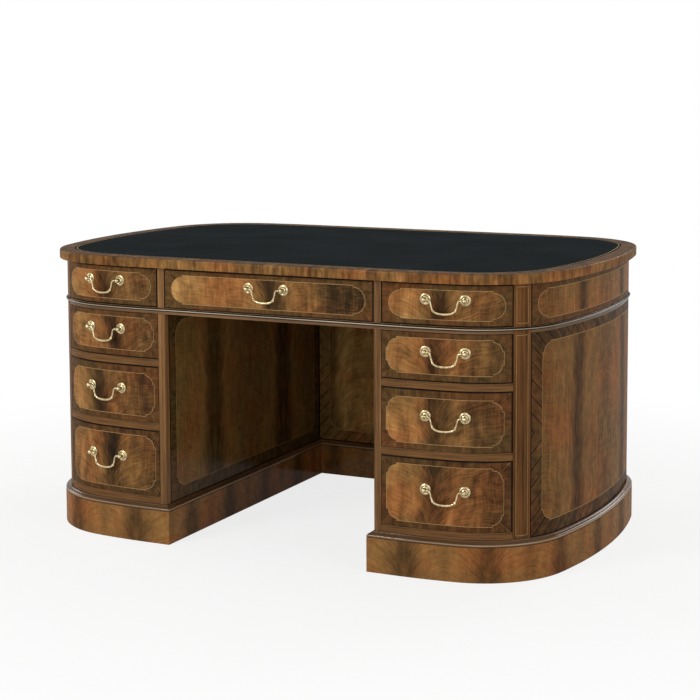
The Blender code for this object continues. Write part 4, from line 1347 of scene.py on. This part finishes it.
def plinth_veneer():
    """Book-matched flame veneer in short leaves, without a band."""
    material, tree, place, split = new_veneer("plinth flame veneer")
    started = add(tree, MATH, {0: split.outputs["X"], 1: LEAF_START}, operation="ADD")
    folded = add(tree, MATH, {0: started, 1: LEAF_WIDTH}, operation="PINGPONG")
    leaf = add(tree, "ShaderNodeCombineXYZ", {"X": folded, "Z": split.outputs["Z"]})
    drift = add(tree, NOISE, {"Vector": place, "Scale": DRIFTS_PER_METRE, "Detail": 2.0})
    seed = add(tree, MATH, {0: drift, 1: PLINTH_DRIFT, 2: PLINTH_SEED}, operation="MULTIPLY_ADD")
    flame = add(tree, "ShaderNodeGroup", {"Place": leaf, "Spine": LEAF_WIDTH, "Seed": seed,
                                          "Dive": PLINTH_DIVE, **FIGURE_SHARES["short"]}, node_tree=FLAME)
    tone = add(tree, MATH, {0: flame.outputs["Tone"], 1: PLINTH_TONE}, operation="ADD")
    colour = wood_colour(tree, tone, place, PLINTH_SEED)
    polished(tree, colour, flame.outputs["Relief"])
    return material


inner = PLINTH_PROJECTION - PLINTH_BOARD
bm = new_mesh()
add_ring(bm, [(PLINTH_PROJECTION, 0), (PLINTH_PROJECTION, PLINTH_TOP_Z), (inner, PLINTH_TOP_Z),
              (inner, 0)])
finish_piece("plinth_boards", bm, [plinth_veneer()], "case", ["plinth"])

low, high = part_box("plinth_moulding")
height = high.z - low.z
section = [(out * PLINTH_PROJECTION, low.z + up * height) for out, up in MOULDING_SHARES]
section += [(inner, high.z), (inner, low.z)]
bm = new_mesh()
add_ring(bm, section)
finish_piece("plinth_moulding_run", bm, [MOULDING_WOOD], "case", ["plinth_moulding"],
             arris=0)
print("moulding", round(height * 1000, 1), "mm high")

# %% [markdown]
# The top's border is crossbanded: its grain runs out to the edge and over it, in leaves about
# 20 cm long. The flat face is set darker than the edge, so the tone changes where the edge rounds
# over, and hands and sleeves have left the coat thin and dull.

# %% Crossbanded border veneer
UPPER_ROUND = 0.004
BORDER_LEAF = 0.21
BORDER_LOT = 5.0
BORDER_SEED = 91.3
CROSS_FIBRE_LENGTH = 0.03
BORDER_CLOUDS_PER_METRE = 26.0
BORDER_FIBRE_SHARE = 0.95
BORDER_CLOUD_SHARE = 0.75
BORDER_LEAF_SHARE = 0.10
BORDER_TONE = -0.32
TOP_FACE_TONE = -0.20
EDGE_TONE = -0.04
BORDER_LACQUER_WEIGHT = 0.12
BORDER_LACQUER_ROUGHNESS = 0.2


def crossbanded():
    """Veneer whose grain runs across a narrow border, in leaves of slightly different tone."""
    material, tree, place, split = new_veneer("crossbanded border veneer")
    leaf = add(tree, MATH, {0: split.outputs["X"], 1: 1 / BORDER_LEAF, 2: BORDER_LOT},
               operation="MULTIPLY_ADD")
    leaf = add(tree, MATH, {0: leaf}, operation="FLOOR")
    leaf_tone = add(tree, "ShaderNodeTexWhiteNoise", {"W": leaf}, noise_dimensions="1D")
    grain = (1 / BAND_FIBRE_WIDTH, 1 / CROSS_FIBRE_LENGTH, 1 / CROSS_FIBRE_LENGTH)
    fibre = add(tree, VECTOR, {0: place, 1: grain}, operation="MULTIPLY")
    fibre = add(tree, NOISE, {"Vector": fibre, "Scale": 0.6, "Detail": 3.0, "Roughness": 0.6})
    cloud = add(tree, NOISE, {"Vector": place, "Scale": BORDER_CLOUDS_PER_METRE, "Detail": 3.0})
    tone = add(tree, MATH, {0: fibre, 1: BORDER_FIBRE_SHARE, 2: BORDER_TONE}, operation="MULTIPLY_ADD")
    tone = add(tree, MATH, {0: cloud, 1: BORDER_CLOUD_SHARE, 2: tone}, operation="MULTIPLY_ADD")
    tone = add(tree, MATH, {0: leaf_tone, 1: BORDER_LEAF_SHARE, 2: tone}, operation="MULTIPLY_ADD")
    # The flat face is set darker than the rounded edge.
    face_tone = add(tree, RANGE, {"Value": split.outputs["Y"], "From Min": TOP_OVERHANG - UPPER_ROUND,
                                  "From Max": TOP_OVERHANG - UPPER_ROUND / 4, "To Min": TOP_FACE_TONE,
                                  "To Max": EDGE_TONE})
    tone = add(tree, MATH, {0: tone, 1: face_tone}, operation="ADD")
    colour = wood_colour(tree, tone, place, BORDER_SEED)
    polished(tree, colour, fibre, (BORDER_LACQUER_WEIGHT, BORDER_LACQUER_ROUGHNESS))
    return material


BORDER_VENEER = crossbanded()
print("border leaves", BORDER_LEAF * 100, "cm long")

# %% [markdown]
# The top is one board with a rounded edge, and a sheet of black hide fills the middle, let in
# flush with the border. Board and hide are the same sweep as the ends, with other sections. The
# hide's edge is turned down in a tiny round, which leaves the thin dark line that shows where
# the two meet.

# %% Top board and hide
RECESS = 0.0015
LOWER_ROUND = 0.002
LOWER_ROUND_STEPS = 3
UPPER_ROUND_STEPS = 5
HIDE_GAP = 0.0004
HIDE_ROUND_MM = [(0.4, 0.5), (0.6, 0.1), (1.1, 0.0), (60.0, 0.0)]


def quarter_round(offset, z, radius, start, steps):
    """Section points of a rounded edge whose square corner is at offset, z."""
    centre_z = z - math.copysign(radius, math.sin(start + math.pi / 4))
    turns = [start + math.pi / 2 * i / steps for i in range(steps + 1)]
    return [(offset - radius + radius * math.cos(t), centre_z + radius * math.sin(t)) for t in turns]


section = quarter_round(TOP_OVERHANG, TOP_LOW.z, LOWER_ROUND, -math.pi / 2, LOWER_ROUND_STEPS)
section += quarter_round(TOP_OVERHANG, TOP_HIGH.z, UPPER_ROUND, 0.0, UPPER_ROUND_STEPS)
section += [(HIDE_EDGE, TOP_HIGH.z), (HIDE_EDGE, TOP_HIGH.z - RECESS)]
bm = new_mesh()
add_run(bm, [(0.0, WHOLE_RUN, 0.0, 0)], section, 0.0, closed=False)
finish_piece("top_board", bm, [BORDER_VENEER, CARCASE_WOOD], "case", ["desk_top"], arris=0,
             cap_slot=1)

low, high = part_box("leather_inset")
section = [(HIDE_EDGE - HIDE_GAP, low.z)]
section += [(HIDE_EDGE - inward / 1000, high.z - down / 1000) for inward, down in HIDE_ROUND_MM]
bm = new_mesh()
add_run(bm, [(0.0, WHOLE_RUN, 0.0, 0)], section, 0.0, closed=False)
finish_piece("hide_sheet", bm, [LEATHER], "case", ["leather_inset"], arris=0)
print("top board", round(TOP_HIGH.x - TOP_LOW.x, 3), "m long")

# %% [markdown]
# Strings, bead and bails are all the same idea: a small section that follows a line. A curve
# object with a bevel would do for one of them, but Geometry Nodes does all three with named
# sizes. Each line is a mesh of edges with two attributes, the way its face looks and its
# thickness. A tree turns the edges to curves, sets the curves' normals from the first attribute
# and sweeps a section along them. The result is kept as a plain mesh on its body.

# %% Lines for Geometry Nodes
def line_object(name, lines):
    """Object of bare edges. A line holds points, normals, thicknesses and whether it closes."""
    points, normals, sizes, edges = [], [], [], []
    for line_points, line_normals, line_sizes, cyclic in lines:
        first = len(points)
        points += line_points
        normals += line_normals
        sizes += line_sizes
        edges += [(i, i + 1) for i in range(first, len(points) - 1)]
        if cyclic:
            edges.append((len(points) - 1, first))
    mesh = bpy.data.meshes.new(name)
    mesh.from_pydata(points, edges, [])
    outward = mesh.attributes.new("outward", "FLOAT_VECTOR", "POINT")
    outward.data.foreach_set("vector", [number for normal in normals for number in normal])
    thickness = mesh.attributes.new("thickness", "FLOAT", "POINT")
    thickness.data.foreach_set("value", sizes)
    return new_piece(name, mesh)


def sweep(name, lines, tree, inputs, body, nodes=(), slot=None):
    """Runs a tree over some lines and keeps the result as a plain mesh on one body."""
    holder = line_object(name, lines)
    modifier = holder.modifiers.new("sweep", "NODES")
    modifier.node_group = tree
    for socket_name, value in inputs.items():
        socket = tree.interface.items_tree[socket_name]
        modifier[socket.identifier] = value
    evaluated = holder.evaluated_get(bpy.context.evaluated_depsgraph_get())
    mesh = bpy.data.meshes.new_from_object(evaluated)
    holder.modifiers.remove(modifier)
    bpy.data.objects.remove(holder)
    mesh.name = name
    settle(new_piece(name, mesh), body, nodes)


def new_tree(name, sizes):
    """Geometry tree with named sizes and a material; its input, and its lines as curves."""
    tree = bpy.data.node_groups.new(name, "GeometryNodeTree")
    tree.interface.new_socket("Lines", in_out="INPUT", socket_type="NodeSocketGeometry")
    for size in sizes:
        tree.interface.new_socket(size, in_out="INPUT", socket_type="NodeSocketFloat")
    tree.interface.new_socket("Finish", in_out="INPUT", socket_type="NodeSocketMaterial")
    tree.interface.new_socket("Piece", in_out="OUTPUT", socket_type="NodeSocketGeometry")
    given = add(tree, "NodeGroupInput")
    curve = add(tree, "GeometryNodeMeshToCurve", {"Mesh": given.outputs["Lines"]})
    outward = add(tree, "GeometryNodeInputNamedAttribute", {"Name": "outward"}, data_type="FLOAT_VECTOR")
    curve = add(tree, "GeometryNodeSetCurveNormal", {"Curve": curve, "Normal": outward}, mode="FREE")
    return tree, given, curve


def finish_tree(tree, given, mesh):
    """Ends a tree with Realize Instances and Set Material."""
    real = add(tree, "GeometryNodeRealizeInstances", {"Geometry": mesh})
    painted = add(tree, "GeometryNodeSetMaterial", {"Geometry": real, "Material": given.outputs["Finish"]})
    add(tree, "NodeGroupOutput", {"Piece": painted})
    return tree


print("lines carry their own normals and thickness")

# %% [markdown]
# A real string is flush with the veneer. This one is a strip a little over a millimetre wide that
# stands a few hundredths proud, just enough to be drawn over the face it lies on. Its section is
# a thin block, wide across the line and thin out of the face, shaded flat.

# %% Tree for the inlay strings
STRING_WIDTH = 0.0012
STRING_HEIGHT = 0.00016


def string_tree():
    """Sweeps a flat strip along each line, lying on the face."""
    tree, given, curve = new_tree("inlay string", ("Width", "Height"))
    strip = add(tree, "GeometryNodeCurvePrimitiveQuadrilateral", {
        "Width": given.outputs["Height"], "Height": given.outputs["Width"],
    })
    mesh = add(tree, "GeometryNodeCurveToMesh", {"Curve": curve, "Profile Curve": strip, "Fill Caps": True})
    flat = add(tree, "GeometryNodeSetShadeSmooth", {"Geometry": mesh, "Shade Smooth": False})
    return finish_tree(tree, given, flat)


STRING_TREE = string_tree()
STRING_SIZES = {"Width": STRING_WIDTH, "Height": STRING_HEIGHT, "Finish": BOXWOOD}
STRING_OFFSET = STRING_HEIGHT / 4
print("strings", STRING_WIDTH * 1000, "mm wide")

# %% [markdown]
# A string's line is drawn flat round its field, with quarter rounds at the stepped corners, and
# then laid on its face: bent round the case, or set on a flat panel. Long straight sides are
# divided first, so that they can bend.

# %% Lines round the fields
CURVE_STEP = 0.007
QUARTER_STEPS = 9


def divided(points):
    """Points of a closed flat line with enough steps between them to bend round the desk."""
    result = []
    for (x_a, z_a), (x_b, z_b) in zip(points, points[1:] + points[:1]):
        count = max(1, math.ceil(abs(x_b - x_a) / CURVE_STEP))
        for i in range(count):
            share = i / count
            result.append((x_a + (x_b - x_a) * share, z_a + (z_b - z_a) * share))
    return result


def field_outline(field):
    """Line round a field: straight sides joined by stepped quarter rounds."""
    a, b = field["half_width"], field["half_height"]
    c, r = field["corner"], field["round"]
    quarter = [(a - c, b)]
    quarter += [(a - c + r * math.sin(t), b - c + r * math.cos(t))
                for t in [math.pi / 2 * i / QUARTER_STEPS for i in range(QUARTER_STEPS + 1)]]
    round_ended = b - c <= SAME_PLACE
    if not round_ended:
        quarter.append((a, b - c))
    right = quarter + [(x, -z) for x, z in reversed(quarter) if not (round_ended and abs(z) < SAME_PLACE)]
    left = [(-x, z) for x, z in reversed(right)]
    return right + left


def rectangle_outline(half_width, half_height):
    """Plain rectangular line."""
    return [(half_width, half_height), (half_width, -half_height), (-half_width, -half_height),
            (-half_width, half_height)]


def lay_on_case(points, centre, middle, side=1):
    """Bends a flat line round the case."""
    flat = divided(points)
    places = [at(centre + x, STRING_OFFSET, middle + z, side) for x, z in flat]
    normals = []
    for x, _ in flat:
        normal = facing(centre + x)
        normals.append(Vector((side * normal.x, normal.y, 0)))
    return places, normals, [1.0] * len(flat), True


def lay_on_panel(points, place_of, normal):
    """Puts a flat line on a flat panel; place_of turns its two numbers into a point."""
    places = [place_of(x, z) for x, z in points]
    return places, [Vector(normal)] * len(places), [1.0] * len(places), True


print("a drawer's string has", len(divided(field_outline(DRAWERS[0]["field"]))), "points")

# %% [markdown]
# The drawers' strings ride with the drawers, one line round each field.

# %% Strings of the drawers
for drawer in DRAWERS:
    line = lay_on_case(field_outline(drawer["field"]), drawer["centre"], drawer["middle"], drawer["side"])
    sweep(f"{drawer['key']}_string", [line], STRING_TREE, STRING_SIZES, drawer["body"])
print(len(DRAWERS), "drawer fields strung")

# %% [markdown]
# On the case the strings are gathered in a few pieces: those of each half, those of the kneehole
# sides and those of the kneehole's back. The stiles have plain rectangles, in the pedestal and
# again in the frieze.

# %% Strings of the case
STILE_INSET = 0.0087
stile_half = STILE_WIDTH / 2 - STILE_INSET
stile_middle = (OPENING_END + STILE_END) / 2
heights = {
    "pedestal": (BASE_Z + STILE_INSET, FRAME_LOW_Z - STILE_INSET / 2),
    "frieze": (FRIEZE_LOW_Z + STILE_INSET, CASE_TOP_Z - STILE_INSET),
}
for side_name, side in (("left", -1), ("right", 1)):
    lines = []
    for centre in (stile_middle, BACK_MIDDLE - stile_middle):
        for low_z, high_z in heights.values():
            shape = rectangle_outline(stile_half, (high_z - low_z) / 2)
            lines.append(lay_on_case(shape, centre, (high_z + low_z) / 2, side))
    lines.append(lay_on_case(field_outline(END_FIELD), QUARTER_RUN, PANEL_MIDDLE, side))
    lines.append(lay_on_case(field_outline(BACK_FIELD), back_centre, PANEL_MIDDLE, side))
    lines.append(lay_on_case(field_outline(END_FRIEZE_FIELD), QUARTER_RUN, FRIEZE_MIDDLE, side))
    lines.append(lay_on_case(field_outline(BACK_FRIEZE_FIELD), back_frieze_centre, FRIEZE_MIDDLE, side))
    sweep(f"case_strings_{side_name}", lines, STRING_TREE, STRING_SIZES, "case")

    wall_x = side * (KNEEHOLE_HALF - STRING_OFFSET)
    line = lay_on_panel(field_outline(SIDE_FIELD),
                        lambda y, z: Vector((wall_x, side_centre + y, PANEL_MIDDLE + z)), (-side, 0, 0))
    sweep(f"kneehole_string_{side_name}", [line], STRING_TREE, STRING_SIZES, "case")

back_low, back_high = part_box("kneehole_back")
lines = [
    lay_on_panel(field_outline(BACK_PANEL_FIELD),
                 lambda x, z: Vector((x, back_low.y - STRING_OFFSET, PANEL_MIDDLE + z)), (0, -1, 0)),
    lay_on_panel(field_outline(BACK_PANEL_FIELD),
                 lambda x, z: Vector((-x, back_high.y + STRING_OFFSET, PANEL_MIDDLE + z)), (0, 1, 0)),
    lay_on_case(field_outline(MIDDLE_FRIEZE_FIELD), BACK_MIDDLE, FRIEZE_MIDDLE),
]
sweep("kneehole_back_strings", lines, STRING_TREE, STRING_SIZES, "case")
print("strings laid on the ends, stiles, back and kneehole")

# %% [markdown]
# A half-round bead hides the joint between frieze and pedestals. Its section is half a disc,
# stretched a little, and it follows the outline all the way round. The wood is nearly black,
# with a duller coat than the moulding's, and a pale line is painted along its middle as a
# painted highlight, so the eye sees two dark lines with a broken light one between them.

# %% Bead
BEAD_ARC_POINTS = 17
BEAD_LACQUER_WEIGHT = 0.25
BEAD_HIGHLIGHT_WIDTH = 0.0014


def bead_tree():
    """Sweeps a half-round section along each line, its round side outwards."""
    tree, given, curve = new_tree("half-round bead", ("Projection", "Height"))
    length = add(tree, "GeometryNodeSplineParameter").outputs["Length"]
    half = add(tree, MATH, {0: add(tree, "GeometryNodeCurveLength", {"Curve": curve}), 1: 0.5},
               operation="MULTIPLY")
    run = add(tree, MATH, {0: length, 1: half}, operation="PINGPONG")
    curve = add(tree, "GeometryNodeStoreNamedAttribute", {"Geometry": curve, "Name": "run", "Value": run})
    arc = add(tree, "GeometryNodeCurveArc", {
        "Resolution": BEAD_ARC_POINTS, "Radius": 1.0, "Start Angle": -math.pi / 2, "Sweep Angle": math.pi,
        "Connect Center": False,
    })
    half_height = add(tree, MATH, {0: given.outputs["Height"], 1: 0.5}, operation="MULTIPLY")
    stretch = add(tree, "ShaderNodeCombineXYZ", {"X": given.outputs["Projection"], "Y": half_height,
                                                 "Z": 1.0})
    section = add(tree, "GeometryNodeTransform", {"Geometry": arc, "Scale": stretch})
    closed = add(tree, "GeometryNodeSetSplineCyclic", {"Geometry": section, "Cyclic": True})
    mesh = add(tree, "GeometryNodeCurveToMesh", {"Curve": curve, "Profile Curve": closed})
    run = add(tree, "GeometryNodeInputNamedAttribute", {"Name": "run"}, data_type="FLOAT")
    height = add(tree, "ShaderNodeSeparateXYZ", {0: add(tree, "GeometryNodeInputPosition")}).outputs["Z"]
    place = add(tree, "ShaderNodeCombineXYZ", {"X": run, "Z": height})
    mesh = add(tree, "GeometryNodeStoreNamedAttribute", {"Geometry": mesh, "Name": "place", "Value": place},
               data_type="FLOAT_VECTOR")
    smooth = add(tree, "GeometryNodeSetShadeSmooth", {"Geometry": mesh, "Shade Smooth": True})
    return finish_tree(tree, given, smooth)


low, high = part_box("bead_moulding")
bead_middle = (low.z + high.z) / 2
# The pale line along the bead's middle is a painted highlight.
BEAD_WOOD = straight_wood("dark polished bead", 0, ("#150E08", "#332215"), 8.8,
                          coat=(BEAD_LACQUER_WEIGHT, MOULDING_LACQUER_ROUGHNESS),
                          painted_highlight=(bead_middle, BEAD_HIGHLIGHT_WIDTH, "#CDBFA2"))
bead_out = high.y - HALF_DEPTH
points = [at(mark, GAP, bead_middle) for mark in RING_MARKS]
normals = [Vector((*facing(mark), 0)) for mark in RING_MARKS]
sweep("bead_run", [(points, normals, [1.0] * len(RING_MARKS), True)], bead_tree(),
      {"Projection": bead_out - GAP, "Height": high.z - low.z, "Finish": BEAD_WOOD}, "case",
      ["bead_moulding"], "solid_wood")
print("bead stands", round(bead_out * 1000, 1), "mm out")

# %% [markdown]
# Each pull has two turned posts and a bail. A post is a lathe job: a stepped rosette, a neck and
# a round head, so its profile is spun about the axis that stands square to the drawer front.
# The profile is in millimetres, radius and height above the front. A ring that lies below the
# line between its neighbours is a hollow, and the tarnish there is worked out from the profile.

# %% Turned posts
PULL_SPAN = 0.103
PULL_STANDOFF = 0.014
POST_SIDES = 40
POST_SHARP_ANGLE = math.radians(55)
FULL_HOLLOW_MM = 0.3
TARNISH_AND_SHADE = 0.85
POST_PROFILE_MM = [
    (0.0, 0.3), (14.5, 0.3), (14.5, 1.0), (14.2, 1.5), (13.5, 1.8), (12.7, 1.9), (12.2, 2.3), (11.6, 2.75),
    (10.6, 3.0), (9.7, 2.8), (9.2, 2.3), (8.7, 2.0), (8.2, 2.15), (7.9, 2.9), (7.1, 3.6), (6.0, 4.1),
    (4.9, 4.5), (4.1, 5.2), (3.7, 6.4), (3.6, 8.0), (3.7, 9.2), (4.4, 10.0), (5.3, 11.1), (5.8, 12.4),
    (6.0, 14.0), (5.8, 15.6), (5.2, 17.0), (4.2, 18.3), (3.0, 19.2), (1.6, 19.8), (0.0, 20.0),
]


def hollows(profile):
    """How much of a hollow each ring of a profile is, from 0 to 1."""
    shares = [TARNISH_AND_SHADE]
    for before, here, after in zip(profile, profile[1:], profile[2:]):
        along = Vector(after) - Vector(before)
        outward = Vector((along.y, -along.x)).normalized()
        depth = ((Vector(before) + Vector(after)) / 2 - Vector(here)).dot(outward)
        shares.append(TARNISH_AND_SHADE * min(1.0, max(0.0, depth / FULL_HOLLOW_MM)))
    # The rim where the rosette meets the drawer front is darkened fully too: partly tarnish, partly painted
    # shade of the joint.
    shares[1] = TARNISH_AND_SHADE
    return shares + [0.0]


def turned_post(name, foot, normal, body, node):
    """Post spun about the direction that its face looks in."""
    across = Vector((-normal.y, normal.x, 0))
    up = normal.cross(across)
    bm = bmesh.new()
    rings = []
    for radius, reach in POST_PROFILE_MM:
        centre = foot + normal * reach / 1000
        if radius == 0.0:
            rings.append([bm.verts.new(centre)])
            continue
        turns = [2 * math.pi * i / POST_SIDES for i in range(POST_SIDES)]
        rings.append([bm.verts.new(centre + radius / 1000 * (math.cos(t) * across + math.sin(t) * up))
                      for t in turns])
    for near, far in zip(rings, rings[1:]):
        for i in range(POST_SIDES):
            j = (i + 1) % POST_SIDES
            if len(near) == 1:
                bm.faces.new((near[0], far[j], far[i]))
            elif len(far) == 1:
                bm.faces.new((near[i], near[j], far[0]))
            else:
                bm.faces.new((near[i], near[j], far[j], far[i]))
    ring_sizes = [len(ring) for ring in rings]
    mesh = smooth_mesh(name, bm)
    mesh.set_sharp_from_angle(angle=POST_SHARP_ANGLE)
    shares = hollows(POST_PROFILE_MM)
    values = [share for size, share in zip(ring_sizes, shares) for _ in range(size)]
    mesh.attributes.new("hollow", "FLOAT", "POINT").data.foreach_set("value", values)
    mesh.materials.append(BRASS)
    settle(new_piece(name, mesh), body, [node])


for drawer in DRAWERS:
    side, key = drawer["side"], drawer["key"]
    pull_station = (drawer["start"] + drawer["end"]) / 2
    low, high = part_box(f"{key}_post_left")
    drawer["pull_z"] = (low.z + high.z) / 2
    drawer["heads"] = []
    for end, turn in (("left", -1), ("right", 1)):
        station = pull_station + side * turn * PULL_SPAN / 2
        normal = facing(station)
        normal = Vector((side * normal.x, normal.y, 0))
        foot = at(station, 0.0, drawer["pull_z"], side)
        turned_post(f"{key}_turned_post_{end}", foot, normal, drawer["body"], f"{key}_post_{end}")
        drawer["heads"].append(foot + normal * PULL_STANDOFF)
print(2 * len(DRAWERS), "posts of", len(POST_PROFILE_MM), "rings")

# %% [markdown]
# The bail is a swan-necked bar. It leaves the posts level, turns down, swells to a small collar
# and crosses below in a flat bow. Its centre line is a smooth curve through a few measured
# places, and its thickness is an attribute of the line, so that one round section makes it all.
# Each row of the table is half a span across, a share of the drop and a share of the thickness.

# %% Tree and line for the bails
BAIL_DROP = 0.035
BAIL_RADIUS = 0.0033
BAIL_SHARES = [
    (0.883, 0.0, 0.66), (0.80, 0.0, 0.66), (0.735, 0.03, 0.66), (0.685, 0.12, 0.68), (0.655, 0.27, 0.70),
    (0.63, 0.45, 0.72), (0.59, 0.62, 0.72), (0.545, 0.755, 0.92), (0.48, 0.85, 0.80), (0.30, 0.955, 0.94),
    (0.0, 1.0, 0.98),
]
COLLAR_PLACES = (7.0, 0.9)
COLLAR_SWELL = 0.48
COLLAR_WIDTH = 0.26
LINE_STEPS = 7
BAIL_SIDES = 20


def smooth_between(rows, t):
    """Catmull-Rom curve through rows at t, which counts rows."""
    i = min(int(t), len(rows) - 2)
    share = t - i
    before = rows[max(i - 1, 0)]
    after = rows[min(i + 2, len(rows) - 1)]
    values = []
    for p0, p1, p2, p3 in zip(before, rows[i], rows[i + 1], after):
        values.append(0.5 * (2 * p1 + (p2 - p0) * share + (2 * p0 - 5 * p1 + 4 * p2 - p3) * share ** 2
                             + (3 * p1 - p0 - 3 * p2 + p3) * share ** 3))
    return values


def bail_line(middle, along, half_span):
    """Points, normals and thickness of a hanging bail."""
    mirrored_rows = BAIL_SHARES + [(-x, down, wide) for x, down, wide in BAIL_SHARES[-2::-1]]
    last = len(mirrored_rows) - 1
    count = last * LINE_STEPS
    points, sizes = [], []
    for i in range(count + 1):
        t = last * i / count
        x, down, wide = smooth_between(mirrored_rows, t)
        for collar in COLLAR_PLACES:
            nearest = min(abs(t - collar), abs(last - t - collar))
            wide += COLLAR_SWELL * math.exp(-(nearest / COLLAR_WIDTH) ** 2)
        points.append(middle + x * half_span * along - Vector((0, 0, down * BAIL_DROP)))
        sizes.append(wide * BAIL_RADIUS)
    sideways = Vector((0, 0, 1)).cross(along)
    return points, [sideways] * len(points), sizes, False


def bail_tree():
    """Sweeps a round section whose radius is the line's thickness."""
    tree, given, curve = new_tree("round bar", ("Sides",))
    size = add(tree, "GeometryNodeInputNamedAttribute", {"Name": "thickness"}, data_type="FLOAT")
    section = add(tree, "GeometryNodeCurvePrimitiveCircle", {"Radius": 1.0})
    tree.links.new(given.outputs["Sides"], section.inputs["Resolution"])
    mesh = add(tree, "GeometryNodeCurveToMesh", {
        "Curve": curve, "Profile Curve": section, "Scale": size, "Fill Caps": True,
    })
    smooth = add(tree, "GeometryNodeSetShadeSmooth", {"Geometry": mesh, "Shade Smooth": True})
    return finish_tree(tree, given, smooth)


BAIL_TREE = bail_tree()
for drawer in DRAWERS:
    left, right = drawer["heads"]
    line = bail_line((left + right) / 2, (right - left).normalized(), (right - left).length / 2)
    key = drawer["key"]
    sweep(f"{key}_swan_bail", [line], BAIL_TREE, {"Sides": float(BAIL_SIDES), "Finish": BRASS},
          f"{key}_bail_body", [f"{key}_bail"], "brass")
print(len(DRAWERS), "bails hang", BAIL_DROP * 1000, "mm below their posts")

# %% [markdown]
# The studio is plain: a pale floor that keeps the desk's shadow and fades to white away from
# it, and a white world. The white is only for rays that come straight from the camera, or by
# way of a reflection or of glass, so the background is bright and the desk isn't lit by it.

# %% Floor and world
FLOOR_SIZE = 60.0
FADE_START = 1.0
FADE_END = 2.2
FLOOR_GLOW = 0.8
WORLD_LIGHT = 0.32
WHITE = (1.0, 1.0, 1.0, 1.0)


def seen_directly(tree):
    """1 for rays from the camera, from gloss and through glass, which meet the white studio."""
    path = add(tree, "ShaderNodeLightPath")
    rays = add(tree, MATH, {0: path.outputs["Is Camera Ray"], 1: path.outputs["Is Glossy Ray"]},
               operation="MAXIMUM")
    return add(tree, MATH, {0: rays, 1: path.outputs["Is Transmission Ray"]}, operation="MAXIMUM")


def studio_floor():
    """Pale floor that turns to plain white away from the desk."""
    material, tree = new_material("pale studio floor")
    place = add(tree, "ShaderNodeTexCoord").outputs["Object"]
    reach = add(tree, VECTOR, {0: place}, operation="LENGTH").outputs["Value"]
    mottle = add(tree, NOISE, {"Vector": place, "Scale": 3.0, "Detail": 2.0})
    tint = add(tree, RAMP, {0: mottle}, [(0.3, "#F4F3F1"), (0.7, "#F7F6F4")])
    paint = add(tree, "ShaderNodeBsdfDiffuse", {"Color": tint})
    white = add(tree, "ShaderNodeEmission", {"Color": WHITE, "Strength": 1.0})
    fade = add(tree, RANGE, {"Value": reach, "From Min": FADE_START, "From Max": FADE_END,
                             "To Min": FLOOR_GLOW, "To Max": 1.0}, interpolation_type="SMOOTHSTEP")
    share = add(tree, MATH, {0: fade, 1: seen_directly(tree)}, operation="MULTIPLY")
    mixed = add(tree, "ShaderNodeMixShader", {0: share, 1: paint, 2: white})
    add(tree, "ShaderNodeOutputMaterial", {"Surface": mixed})
    return material


floor_mesh = bpy.data.meshes.new("studio_floor")
bm = bmesh.new()
bmesh.ops.create_grid(bm, x_segments=8, y_segments=8, size=FLOOR_SIZE / 2)
bm.to_mesh(floor_mesh)
bm.free()
floor_mesh.materials.append(studio_floor())
floor = new_piece("studio_floor", floor_mesh)

world = bpy.data.worlds.new("studio")
world.use_nodes = True
world.node_tree.nodes.clear()
tree = world.node_tree
strength = add(tree, MIX, {0: seen_directly(tree), 2: WORLD_LIGHT, 3: 1.0}, data_type="FLOAT")
sky = add(tree, "ShaderNodeBackground", {"Color": WHITE, "Strength": strength})
add(tree, "ShaderNodeOutputWorld", {"Surface": sky})
bpy.context.scene.world = world
bpy.context.scene.view_settings.view_transform = "Standard"
print("world light", WORLD_LIGHT)

# %% [markdown]
# Six soft lamps stand round the desk, the key on the left of the camera, as in the photograph,
# where the left pedestal is the brighter. Their level is plain: a colour renders about as it is
# written. Each row is a name, a place, the side of its square in metres and its power in watts.

# %% Lamps
LAMPS = [
    ("key_softbox", (-2.2, -4.6, 2.6), 1.6, 119.0),
    ("front_softbox", (1.9, -5.0, 1.5), 1.6, 32.0),
    ("right_softbox", (4.8, -1.6, 2.2), 2.4, 52.0),
    ("left_softbox", (-5.0, 0.8, 2.0), 2.0, 60.0),
    ("top_softbox", (0.3, 0.8, 3.6), 2.6, 14.0),
    ("back_softbox", (1.5, 4.8, 2.6), 2.4, 90.0),
]
AIM = Vector((0.0, 0.0, 0.35))
for name, place, size, power in LAMPS:
    lamp = bpy.data.lights.new(name, "AREA")
    lamp.shape = "SQUARE"
    lamp.size = size
    lamp.energy = power
    holder = new_piece(name, lamp)
    holder.location = Vector(place)
    holder.rotation_euler = (AIM - Vector(place)).to_track_quat("-Z", "Y").to_euler()
print(len(LAMPS), "lamps")
